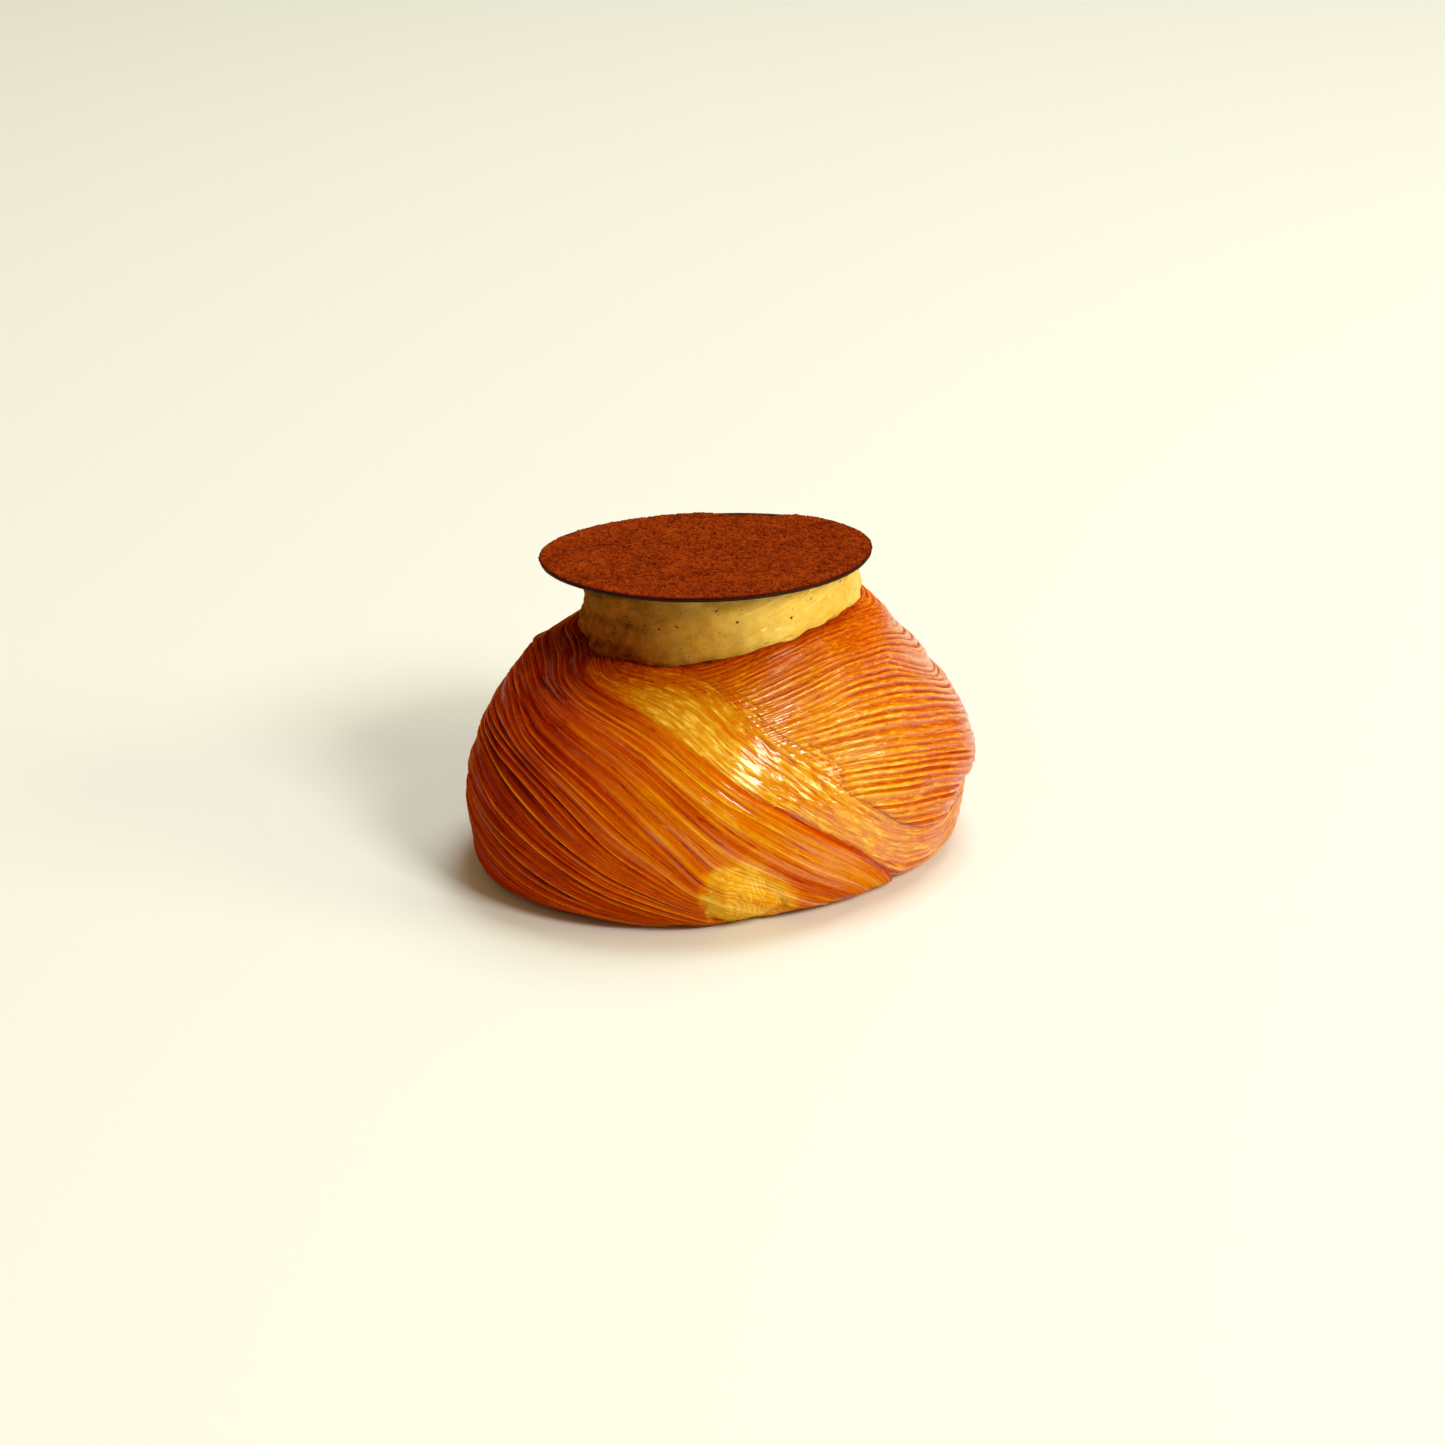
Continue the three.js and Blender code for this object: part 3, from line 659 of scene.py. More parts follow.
BAKED_SIDE = [(-88, 0.95, 0.62), (-70, 0.97, 0.64), (-45, 0.97, 0.60), (-65, 0.86, 0.42), (-52, 0.80, 0.36), (-42, 0.70, 0.37), (-30, 0.60, 0.39), (-47, 0.57, 0.30), (-32, 0.45, 0.47),
              (-20, 0.35, 0.52), (0, 0.50, 0.50), (0, 0.70, 0.45), (10, 0.85, 0.50), (0, 0.96, 0.58), (-85, 0.86, 0.40), (-72, 0.80, 0.38), (60, 0.50, 0.56), (120, 0.50, 0.63), (60, 0.90, 0.62),
              (120, 0.90, 0.69), (180, 0.50, 0.72), (180, 0.80, 0.76), (180, 0.15, 0.75), (60, 0.25, 0.56), (120, 0.15, 0.62)]


def baked(table, shift=0):
    if shift:
        table = table + [(a - 360, s, b) for a, s, b in table if a > 100] + [(a + 360, s, b) for a, s, b in table if a < -100]
    f = thin_plate([(a * DEG, s * PROFILE_LENGTH * 0.8) for a, s, _ in table], [b for _, _, b in table], 150.0)
    at = lambda x: f(x, CS * PROFILE_LENGTH * 0.8)
    return np.clip(to_fine(joined_round(at) if shift else at(CT * DEG)), 0.2, 0.92)


b_front, b_under, b_side = baked(BAKED), baked(BAKED_UNDER), baked(BAKED_SIDE, 1)
wrap = smooth((-TD - 145) / 35)
b_front = b_front * (1 - wrap) + b_side * wrap  # one strand round the back, so the two sides agree where they meet
b_front = b_front + (0.06 + 0.12 * edge_share) * np.exp(-((dc - 0.5) / 0.9) ** 2)
bake = (1 - w_front) * ((1 - w_over) * b_under + w_over * b_side) + w_front * b_front
pale = np.clip(w_tail + 0.75 * smooth(1 + (d_tail + 1.5 * (noise(TD / 3, S * 16, 72) - 0.5)) / 5.0) * smooth((TD + 91) / 7), 0, 1)
bake = bake * (1 - pale) + pale * (0.15 + 0.16 * noise(TD / 4, S * 12, 71) + 0.13 * w_tail * (0.5 - tail_rings))
bake += 0.12 * smooth((S - 0.955) / 0.045)  # painted shade: darker where the dough meets the cream, in the recess round it
# painted shade: much darker inside the bite-sized gap in the bottom edge
bake += 0.9 * np.exp(-((np.hypot((TD + 73.5) * 0.83, S * PROFILE_LENGTH - 1.0) / 1.0) ** 2))
# painted shade along the creases: where the front strand lies over the others, under the edge of the upper strand, and
# round the tucked end
painted_crease_shade = edge_share * np.exp(-((d_crease / 0.5) ** 2)) * (TD < -28) + 0.8 * firm * np.exp(-((d_overlap / 0.5) ** 2)) * (1 - w_front) + 0.5 * np.exp(-((d_tail / 0.4) ** 2)) * smooth((0.16 - S) / 0.1)
painted_crease_shade = np.clip(painted_crease_shade, 0, 1) * (1 - 0 * S)

pick = lambda a, b, c: np.where(w_front > 0.5, a, np.where(w_over > 0.5, b, c))
phase = pick(pA, pB, pC)
u_mm = pick(uA, uB, uC)
v_mm = pick(v_main, vB, v_under + 200)
crest = (1 - w_front) * ((1 - w_over) * crestC + w_over * crestB) + w_front * crestA
hollow = (1 - w_front) * ((1 - w_over) * hollowC + w_over * hollowB) + w_front * hollowA
sharp = np.where(w_front > 0.5, sharp_main, np.where(use_main & (w_over > 0.5), sharp_main, 0.0))
crest, hollow = crest * (1 - w_tail), hollow * (1 - w_tail)
in_tail = w_tail
long_lines = w_front + (1 - w_front) * w_over * np.where(use_main, round_back, 0.0)
# less darkening in the hollows of the under and side strands, most near the top
hollow = hollow * (1 - (1 - w_front) * (1 - smooth((TD - 90) / 60)) * (0.22 + 0.35 * near_top))
# where the crust is glazed and glossy: the under strand, the front strand along the crease, and the lower half of the side strand
gloss_front = 0.12 + 0.88 * np.exp(-((dc - 8) / 12) ** 2) * (1 - meet)
gloss_side = np.clip(1.0 - 0.8 * smooth((S - 0.80) / 0.13), 0, 1) * (1 - 0.88 * smooth((TD - 60) / 80))
gloss_under = 0.35 + 0.65 * smooth((0.80 - S) / 0.2)
gloss = (1 - w_front) * ((1 - w_over) * gloss_under + w_over * gloss_side) + w_front * gloss_front
gloss = gloss * (1 - 0.2 * w_tail)

# ------------------------------------------------------------------ the bun's mesh: underside, outside, lip, well
foot = pts[:, 0]


def thin_ring(ring, count):
    return ring[:: len(ring) // count]


below = []
shares = [0.05, 0.10, 0.18, 0.30, 0.45, 0.62, 0.80, 0.93]
counts = [12, 24, 48, 96, 192, 384, 768, 1536]
for share, count in zip(shares, counts):
    ring = thin_ring(foot, count) * share
    ring[:, 2] = 0.0
    below.append(ring)
rim = pts[:, -1]
rim_in = rim.copy()
rim_in[:, :2] = 0
lip_rows = []
for i in range(1, 9):
    a = i / 8 * math.pi / 2
    r = np.hypot(rim[:, 0], rim[:, 1]) - LIP * math.sin(a)
    z = rim[:, 2] - LIP * (1 - math.cos(a))
    lip_rows.append(np.stack([r * np.cos(np.radians(t_deg)), r * np.sin(np.radians(t_deg)), z], 1))
well_rows = []
edge_r, edge_z = np.hypot(lip_rows[-1][:, 0], lip_rows[-1][:, 1]), lip_rows[-1][:, 2]
for i in range(1, 19):
    a = i / 18 * math.pi / 2
    r = WELL_FLOOR_RADIUS + (edge_r - WELL_FLOOR_RADIUS) * math.cos(a)
    z = edge_z - (edge_z - WELL_FLOOR_Z) * math.sin(a)
    r = r + 0.5 * (noise(t_deg / 2.4, 0 * t_deg + z / 1.5, 63) - 0.5) * (1 - i / 18)
    well_rows.append(np.stack([r * np.cos(np.radians(t_deg)), r * np.sin(np.radians(t_deg)), z], 1))
floor_rows = []
for share, count in zip((0.8, 0.6, 0.42, 0.28, 0.18, 0.1, 0.05), (768, 384, 192, 96, 48, 24, 12)):
    if count > NT:
        continue
    ring = thin_ring(well_rows[-1], count) * share
    ring[:, 2] = WELL_FLOOR_Z
    floor_rows.append(ring)
outside_rows = [pts[:, j] for j in range(NS)]
rings = below + outside_rows + lip_rows + well_rows + floor_rows
bun = ring_mesh("bun_crust", [r + SHIFT for r in rings], np.zeros(3) + SHIFT, np.array([0, 0, WELL_FLOOR_Z]) + SHIFT)


def on_bun(field, below_value, rim_value=None, well_value=None):
    """Per-vertex values for the whole bun from values on its outside grid."""
    parts = [np.full(1, below_value)]
    parts += [np.full(len(r), below_value) for r in below]
    parts += [field[:, j] for j in range(NS)]
    last = field[:, -1] if rim_value is None else np.full(NT, rim_value)
    parts += [last for _ in lip_rows]
    end = last if well_value is None else np.full(NT, well_value)
    parts += [end for _ in well_rows]
    parts += [thin_ring(end, len(r)) for r in floor_rows]
    parts += [end[:1]]
    return np.concatenate(parts)


add_vector(bun, "strand", np.stack([on_bun(phase, 0.0), on_bun(u_mm, 0.0), on_bun(v_mm, 0.0)], 1))
add_scalar(bun, "bake", on_bun(bake, 0.74, None, 0.62))
add_scalar(bun, "crest", on_bun(crest, 0.0, 0.0, 0.0))
add_scalar(bun, "hollow", on_bun(hollow, 0.0, 0.0, 0.0))
add_scalar(bun, "sharp", on_bun(sharp, 0.0, 0.0, 0.0))
add_scalar(bun, "painted_crease_shade", on_bun(painted_crease_shade, 0.0, 0.0, 0.0))
add_scalar(bun, "tail", on_bun(in_tail, 0.0, 0.0, 0.0))
add_scalar(bun, "gloss", on_bun(gloss, 0.1, 0.1, 0.1))
add_scalar(bun, "long", on_bun(long_lines, 0.0, 0.0, 0.0))

# ------------------------------------------------------------------ vanilla cream
NC = 1024
NZ = 130
c_deg = -180 + 360 * np.arange(NC) / NC
c_rad = np.radians(c_deg)
rim_r = np.interp(c_deg, np.append(t_deg, 180), np.append(np.hypot(rim[:, 0], rim[:, 1]), np.hypot(rim[0, 0], rim[0, 1])))
rim_z = np.interp(c_deg, np.append(t_deg, 180), np.append(rim[:, 2], rim[0, 2]))


def ease_ring(a, width):
    k = np.exp(-((np.arange(-width * 3, width * 3 + 1) / width) ** 2))
    k /= k.sum()
    return sum(w * np.roll(a, i - width * 3) for i, w in enumerate(k))


rim_r, rim_z = ease_ring(rim_r, NC // 120), ease_ring(rim_z, NC // 120)


def disc_under(x, y):
    """Height of the disc's underside."""
    dx, dy = x - DISC_CENTRE[0], y - DISC_CENTRE[1]
    warp = (DISC_WARP[0] * (dx**2 - dy**2) + DISC_WARP[1] * 2 * dx * dy) / DISC_RADIUS**2
    return DISC_CENTRE[2] + DISC_SLOPE[0] * dx + DISC_SLOPE[1] * dy + warp



kz = np.linspace(0, 1, NZ)
C2, K2 = np.meshgrid(c_rad, kz, indexing="ij")
CD = np.degrees(C2)
knots = [0, 0.05, 0.11, 0.2, 0.34, 0.52, 0.74, 0.88, 0.95, 0.985, 1.0]
low = np.clip(1 - K2 / 0.2, 0, 1)
radius = np.interp(K2, knots, [24.6, 25.6, 26.65, 27.2, 27.3, 27.0, 26.7, 26.4, 25.9, 25.1, 24.2])
gap_left = np.exp(-((turn(CD, -163) / 24) ** 2))  # the cream stands clear of the rim on one side
radius = radius + (rim_r - RIM_RADIUS)[:, None] * low - gap_left * (1.0 * low + 0.25)
droop = np.exp(-((turn(CD, -112) / 10) ** 2)) + 0.6 * np.exp(-((turn(CD, -84) / 6) ** 2)) + 0.5 * np.exp(-((turn(CD, -60) / 5) ** 2))  # where it hangs a little over the rim
radius = radius + (1.25 * droop + 0.8 * (noise(C2 * 27.0 / 3.0, 0 * C2, 87) - 0.5)) * low
z_low = rim_z[:, None] - 0.9 - 1.6 * gap_left - 0.9 * droop
z_top = disc_under(25.0 * np.cos(C2), 25.0 * np.sin(C2)) - 0.02
zz = z_low + (z_top - z_low) * np.interp(K2, [0, 0.2, 0.8, 1.0], [0, 0.17, 0.84, 1.0])
cream_pts = np.stack([radius * np.cos(C2), radius * np.sin(C2), zz], -1)
arc = C2 * 27.0
left_side = smooth((np.abs(turn(CD, 180)) * -1 + 75) / 45)
right_side = smooth((55 - np.abs(turn(CD, -35))) / 35)
bump = 1.2 * (noise3(cream_pts, 13.0, 81) - 0.5) + 0.85 * (noise3(cream_pts, 5.5, 82) - 0.5) + 0.42 * (noise3(cream_pts, 2.4, 83) - 0.5)
slant = (zz - 48) - 0.22 * (arc + 60) + 1.6 * (noise3(cream_pts, 6.0, 84) - 0.5)
fold = 1 - np.abs(((slant / 5.2) % 1.0) * 2 - 1)
bump += left_side * 0.85 * (smooth(fold * 1.5) - 0.6)
pull = zz - 0.34 * arc
bump += (0.16 + 0.40 * right_side) * (noise(arc / 9.0, pull / 1.1, 85) - 0.5) + (0.06 + 0.14 * right_side) * (noise(arc / 5.0, pull / 0.5, 86) - 0.5)
# a few open pits and one shallow scoop on the right
for a, zc, w, h, depth in ((-42, 54.6, 2.2, 0.9, 0.7), (-32, 56.0, 1.3, 0.8, 0.6), (-60, 53.0, 3.0, 0.5, 0.35), (-150, 55.2, 2.4, 0.8, 0.6), (-128, 52.0, 3.5, 0.6, 0.4)):
    bump -= depth * np.exp(-(((turn(CD, a) * 0.47) / w) ** 2) - (((zz - zc) / h) ** 2))
edge_fade = smooth(K2 / 0.06) * smooth((1 - K2) / 0.03)
bump *= edge_fade
radial = np.stack([np.cos(C2), np.sin(C2), 0 * C2], -1)
cream_pts = cream_pts + radial * bump[..., None]
cream_pts[..., 2] = np.minimum(cream_pts[..., 2], disc_under(cream_pts[..., 0], cream_pts[..., 1]) - 0.02)
first = cream_pts[:, 0]
deep = []
halves = []
n = NC
while n % 2 == 0 and n > 24:
    n //= 2
    halves.append(n)
# inside the well: from the floor up to the visible part
floor_z = WELL_FLOOR_Z + 0.3
inner = []
for a in np.linspace(1, 0, 12)[:-1]:
    ang_ = a * math.pi / 2
    r = 12.0 + (np.hypot(first[:, 0], first[:, 1]) - 12.0) * math.cos(ang_)
    z = first[:, 2] - (first[:, 2] - floor_z) * math.sin(ang_)
    inner.append(np.stack([r * np.cos(c_rad), r * np.sin(c_rad), z], 1))
bottom = []
for i, n in enumerate(reversed(halves)):
    ring = thin_ring(inner[0], n) * (0.12 + 0.78 * (i + 0.5) / len(halves))
    ring[:, 2] = floor_z
    bottom.append(ring)
top = []
last_ring = cream_pts[:, -1]
for i, n in enumerate(halves):
    share = 0.93 - 0.8 * (i / len(halves))
    ring = thin_ring(last_ring, n) * share
    ring[:, 2] = disc_under(ring[:, 0], ring[:, 1]) - 0.02
    top.append(ring)
cream = ring_mesh("cream", [r + SHIFT for r in bottom + inner + [cream_pts[:, j] for j in range(NZ)] + top],
                  np.array([0, 0, floor_z]) + SHIFT, np.array([0, 0, float(disc_under(0, 0)) - 0.02]) + SHIFT)

# painted shade on the cream: darker and browner the further round from the lit right-hand side, most on the left, and
# low down by the rim
painted_shade = 0.95 * smooth((np.abs(turn(CD, 30)) - 86) / 78) * (0.75 + 0.25 * (1 - K2)) + 0.30 * smooth((0.22 - K2) / 0.2) * smooth((np.abs(turn(CD, 10)) - 60) / 60)
painted_shade = np.clip(painted_shade * 1.1, 0, 1.0)
cream_painted_shade = [np.full(1, 0.5)] + [np.full(len(r), 0.5) for r in bottom] + [np.full(len(r), 0.5) for r in inner] + [painted_shade[:, j] for j in range(NZ)] + [np.full(len(r), 0.2) for r in top] + [np.full(1, 0.2)]
add_scalar(cream, "painted_shade", np.concatenate(cream_painted_shade))

# ------------------------------------------------------------------ chocolate disc and cocoa, made flat and then laid on the cream
up = np.array([-DISC_SLOPE[0], -DISC_SLOPE[1], 1.0])
up /= np.linalg.norm(up)
quat = Vector((0, 0, 1)).rotation_difference(Vector(up)).to_matrix()
ROT = np.array([list(r) for r in quat])


def lay(p):
    """Shapes a flat round piece into the slightly oval, slightly warped disc and lays it in place."""
    r, a = np.hypot(p[..., 0], p[..., 1]) / DISC_RADIUS, np.arctan2(p[..., 1], p[..., 0])
    grow = 1 + DISC_OVAL / DISC_RADIUS * np.cos(2 * a)
    q = np.stack([p[..., 0] * grow, p[..., 1] * grow, p[..., 2] + r**2 * (DISC_WARP[0] * np.cos(2 * a) + DISC_WARP[1] * np.sin(2 * a))], -1)
    return q @ ROT.T + DISC_CENTRE + SHIFT


ND = 768
d_rad = 2 * math.pi * np.arange(ND) / ND
edge_wave = 0.06 * (noise(d_rad * 6, 0 * d_rad, 91) - 0.5) + 0.05 * (noise(d_rad * 30, 0 * d_rad, 92) - 0.5)
ease = 0.16
disc_rows = [(DISC_RADIUS - 6, 0.0), (DISC_RADIUS - 2.0, 0.0), (DISC_RADIUS - ease, 0.0), (DISC_RADIUS - ease * 0.5, 0.03), (DISC_RADIUS - 0.06, 0.10), (DISC_RADIUS, ease), (DISC_RADIUS, 0.31),
             (DISC_RADIUS, DISC_THICKNESS - ease), (DISC_RADIUS - 0.06, DISC_THICKNESS - 0.1), (DISC_RADIUS - ease * 0.5, DISC_THICKNESS - 0.03), (DISC_RADIUS - ease, DISC_THICKNESS),
             (DISC_RADIUS - 1.0, DISC_THICKNESS), (DISC_RADIUS - 2.0, DISC_THICKNESS), (DISC_RADIUS - 4.0, DISC_THICKNESS), (DISC_RADIUS - 7.0, DISC_THICKNESS)]
dr = []
for r, z in disc_rows:
    rr = r + edge_wave
    zz_ = z + 0.05 * (noise(d_rad * 9, 0 * d_rad + r, 93) - 0.5) * (r > DISC_RADIUS - 3)
    dr.append(np.stack([rr * np.cos(d_rad), rr * np.sin(d_rad), zz_], 1))
n, inner_counts = ND, []
while n % 2 == 0 and n > 12:
    n //= 2
    inner_counts.append(n)
lower = [thin_ring(dr[0], n) * np.array([s, s, 1]) for n, s in zip(reversed(inner_counts), np.linspace(0.08, 0.93, len(inner_counts)))]
upper = [thin_ring(dr[-1], n) * np.array([s, s, 1]) for n, s in zip(inner_counts, np.linspace(0.93, 0.08, len(inner_counts)))]
disc = ring_mesh("choc_disc", [lay(r) for r in lower + dr + upper], lay(np.zeros(3)), lay(np.array([0, 0, DISC_THICKNESS])))

NG = 1536
STEP = 0.135
g_rad = 2 * math.pi * np.arange(NG) / NG
bare = smooth((g_rad - 0.95) / 0.16) * smooth((1.62 - g_rad) / 0.22)
ragged = 0.24 * (noise(g_rad * 32 / 1.1, 0 * g_rad, 95) - 0.5) + 0.20 * (noise(g_rad * 32 / 0.42, 0 * g_rad, 96) - 0.5)
g_edge = COCOA_RADIUS + 0.22 - 2.9 * bare * (0.85 + 0.3 * noise(g_rad * 18, 0 * g_rad, 97)) + ragged


def powder(x, y):
    """Height of the cocoa's top above the disc, in millimetres: clumps, grains and fine dust."""
    clump = noise(x / 1.5, y / 1.5, 101)
    mid = noise(x / 0.62 + 0.4 * y, y / 0.62 - 0.3 * x, 102)
    grain_height = noise(x / 0.33, y / 0.33, 103)
    fine = noise(x / 0.2 + 7, y / 0.2, 104)
    pits = smooth((0.30 - noise(x / 0.55 + 31, y / 0.5 + 17, 105)) / 0.2)
    return 0.36 + 0.12 * (clump - 0.5) + 0.17 * (mid - 0.5) + 0.20 * (grain_height - 0.5) + 0.10 * (fine - 0.5) - 0.17 * pits


def powder_ring(rad, count, share):
    a = 2 * math.pi * np.arange(count) / count
    e = g_edge[:: NG // count]
    r = np.minimum(rad, e - 0.30 * (1 - share)) if rad is not None else e
    return a, r


side, tops = [], []
for drop, z in ((0.08, 0.0), (0.02, 0.04), (0.0, 0.12), (0.02, 0.20)):
    r = g_edge - drop
    side.append(np.stack([r * np.cos(g_rad), r * np.sin(g_rad), np.full(NG, DISC_THICKNESS + z - 0.01)], 1))
rad_list = np.arange(COCOA_RADIUS - 0.1, 0.3, -STEP)
count = NG
for i, rad in enumerate(rad_list):
    while rad < COCOA_RADIUS * 0.5 * count / NG and count > 24:
        count //= 2
    a = 2 * math.pi * np.arange(count) / count
    e = g_edge[:: NG // count]
    # rings near the edge follow the ragged outline and relax to true circles further in
    reach = smooth((COCOA_RADIUS - rad) / 5.5)
    r = rad * (e - 0.05) / COCOA_RADIUS * (1 - reach) + rad * reach
    x, y = r * np.cos(a), r * np.sin(a)
    inset = e - r
    z = powder(x, y) * (0.35 + 0.65 * smooth(inset / 0.5))
    tops.append(np.stack([x, y, DISC_THICKNESS + z], 1))
n, inner_counts = NG, []
while n % 2 == 0 and n > 12:
    n //= 2
    inner_counts.append(n)
lower = []
for n, s in zip(reversed(inner_counts), np.linspace(0.08, 0.93, len(inner_counts))):
    ring = thin_ring(side[0], n) * np.array([s, s, 1])
    lower.append(ring)
while len(tops[-1]) > 24:
    ring = thin_ring(tops[-1], len(tops[-1]) // 2) * np.array([0.7, 0.7, 1])
    tops.append(ring)
cocoa = ring_mesh("cocoa_powder", [lay(r) for r in lower + side + tops], lay(np.array([0, 0, DISC_THICKNESS - 0.01])), lay(np.array([0, 0, DISC_THICKNESS + 0.36])))
flat_xy = np.vstack([np.zeros((1, 3))] + lower + side + tops + [np.zeros((1, 3))])
# the powder's height over the disc, which the colour follows: painted shade in the low pits and at the edge, lighter on
# the raised grains
add_scalar(cocoa, "grain_height", (flat_xy[:, 2] - DISC_THICKNESS) / 0.6)

# ------------------------------------------------------------------ materials
n = Nodes("baked_dough")
strand_vec = n.split(n.attribute("strand", "Vector"))
p_, u_, v_ = strand_vec[0], strand_vec[1], strand_vec[2]
bake_, crest_, hollow_, sharp_, painted_crease_shade_, tail_ = (n.attribute(k) for k in ("bake", "crest", "hollow", "sharp", "painted_crease_shade", "tail"))
streak = n.noise(n.vector(n.mul(u_, 0.10), n.mul(v_, 1.9), 3.1), 1.0, 3.0, 0.6)
hair = n.noise(n.vector(n.mul(u_, 0.45), n.mul(v_, 5.0), 8.2), 1.0, 2.0, 0.6)
patch = n.noise(n.coords(1 / 0.0075), 1.0, 3.0, 0.55)
mottle = n.noise(n.coords(1 / 0.0011), 1.0, 3.0, 0.65)
pores = n.voronoi(n.coords(1 / 0.0009), 1.0)
d_ = n.math("SUBTRACT", p_, n.math("ROUND", p_))
thin_line = n.mul(n.remap(n.math("ABSOLUTE", n.add(d_, 0.03)), 0.03, 0.13, 1.0, 0.0), sharp_)
# painted shadow just past each raised sheet edge, where the edge shades the layer beyond it
behind = n.mul(n.mul(n.remap(d_, 0.05, 0.14), n.remap(d_, 0.2, 0.6, 1.0, 0.0)), sharp_)
chip = n.noise(n.vector(n.mul(u_, 0.30), n.mul(v_, 1.35), 5.7), 1.0, 2.0, 0.55)
long_ = n.attribute("long")
grain_line = n.noise(n.vector(n.mul(u_, 0.032), n.mul(v_, 1.7), 2.2), 1.0, 3.0, 0.62)
grain_thin = n.noise(n.vector(n.mul(u_, 0.06), n.mul(v_, 4.2), 6.1), 1.0, 2.0, 0.6)
centred = lambda value, by: n.mul(n.math("SUBTRACT", value, 0.5), by)
fine_mottle = n.noise(n.coords(1 / 0.00042), 1.0, 2.0, 0.6)
broad_band = n.noise(n.vector(n.mul(u_, 0.014), n.mul(v_, 0.32), 41.3), 1.0, 2.0, 0.55)


def hairline(u_scale, v_scale, shift, width):
    """Thin wandering lines along the strand: where a smooth noise passes through its middle value."""
    field = n.noise(n.vector(n.mul(u_, u_scale), n.mul(v_, v_scale), shift), 1.0, 1.0, 0.5)
    return n.remap(n.math("ABSOLUTE", n.math("SUBTRACT", field, 0.5)), 0.0, width, 1.0, 0.0)


dark_long = n.mul(hairline(0.045, 0.75, 11.3, 0.020), n.remap(grain_line, 0.42, 0.60))
dark_short = n.mul(hairline(0.16, 0.80, 14.9, 0.022), n.remap(streak, 0.40, 0.62))
pale_long = n.mul(hairline(0.05, 0.90, 17.7, 0.016), n.remap(grain_thin, 0.42, 0.62))
# pale dashes on the chips: partly pale crust flakes, partly painted highlight
pale_flake_and_highlight = n.remap(chip, 0.52, 0.66)
short_tone = n.add(centred(streak, 0.30), centred(hair, 0.18), centred(mottle, 0.16), centred(fine_mottle, 0.10), n.mul(pale_flake_and_highlight, -0.15), n.mul(dark_short, 0.14), 0.06)
long_tone = n.add(centred(broad_band, 0.34), centred(grain_line, 0.40), centred(grain_thin, 0.26), centred(mottle, 0.14), centred(fine_mottle, 0.08), n.mul(dark_long, 0.20), n.mul(pale_long, -0.18))
blend = n.node("ShaderNodeMix", data_type="FLOAT")
n.put(blend.inputs[0], long_)
n.put(blend.inputs[2], short_tone)
n.put(blend.inputs[3], long_tone)
tone = n.add(
    bake_,
    blend.outputs[0],
    centred(patch, 0.18),
    n.mul(crest_, -0.16),
    n.mul(n.mul(thin_line, crest_), -0.27),
    # darker in the hollows: partly baked troughs, partly painted shade
    n.mul(hollow_, 0.23),
    # painted shadow just past each raised edge
    n.mul(n.mul(behind, crest_), 0.18),
    # painted shade along the creases
    n.mul(painted_crease_shade_, 0.16),
    -0.04,
)
crust_ramp = [(0.0, srgb(252, 216, 108)), (0.15, srgb(240, 184, 50)), (0.29, srgb(224, 148, 14)), (0.42, srgb(212, 114, 1)), (0.54, srgb(198, 84, 0)),
              (0.66, srgb(178, 58, 0)), (0.78, srgb(150, 32, 0)), (0.90, srgb(108, 15, 0)), (1.0, srgb(60, 6, 0))]
crust_colour = n.ramp(tone, crust_ramp)
height = n.add(n.mul(streak, 0.35), n.mul(grain_thin, 0.3), n.mul(hair, 0.12), n.mul(chip, 0.40), n.mul(fine_mottle, 0.10), n.mul(n.mul(dark_long, long_), -0.35), n.mul(dark_short, -0.2), n.mul(mottle, 0.16), n.mul(thin_line, 0.25), n.mul(pores, 0.06), n.mul(n.mul(tail_, mottle), 0.4))
crust_bump = n.bump(height, 0.00040, 1.0)
rough = n.remap(n.add(n.mul(streak, 0.5), n.mul(mottle, 0.5)), 0.3, 0.7, 0.32, 0.50, "LINEAR")
rough = n.add(rough, n.mul(tail_, 0.08), n.mul(n.mul(crest_, sharp_), 0.12))
glaze_streak = n.noise(n.vector(n.mul(u_, 0.06), n.mul(v_, 0.75), 21.4), 1.0, 2.0, 0.6)
glaze = n.node("ShaderNodeMix", data_type="FLOAT")
n.put(glaze.inputs[0], long_)
n.put(glaze.inputs[2], n.remap(patch, 0.30, 0.60, 0.55, 1.0))
n.put(glaze.inputs[3], n.remap(glaze_streak, 0.46, 0.62, 0.05, 1.0))
coat = n.mul(n.mul(n.attribute("gloss"), glaze.outputs[0]), n.remap(hollow_, 0.0, 0.7, 1.0, 0.25))
ripple = n.noise(n.vector(n.mul(u_, 0.38), n.mul(v_, 1.05), 31.7), 1.0, 1.0, 0.5)
coat_height = n.add(n.mul(ripple, 1.0), n.mul(chip, 0.25))
DOUGH = n.surface(Base_Color=crust_colour, Roughness=rough, Normal=crust_bump, Specular_IOR_Level=0.0, Coat_Weight=coat, Coat_Roughness=0.10, Coat_IOR=1.68, Coat_Normal=n.bump(coat_height, 0.00016, 1.0),
                  Subsurface_Weight=0.30, Subsurface_Radius=(1.0, 0.28, 0.05), Subsurface_Scale=0.0013, IOR=1.45)

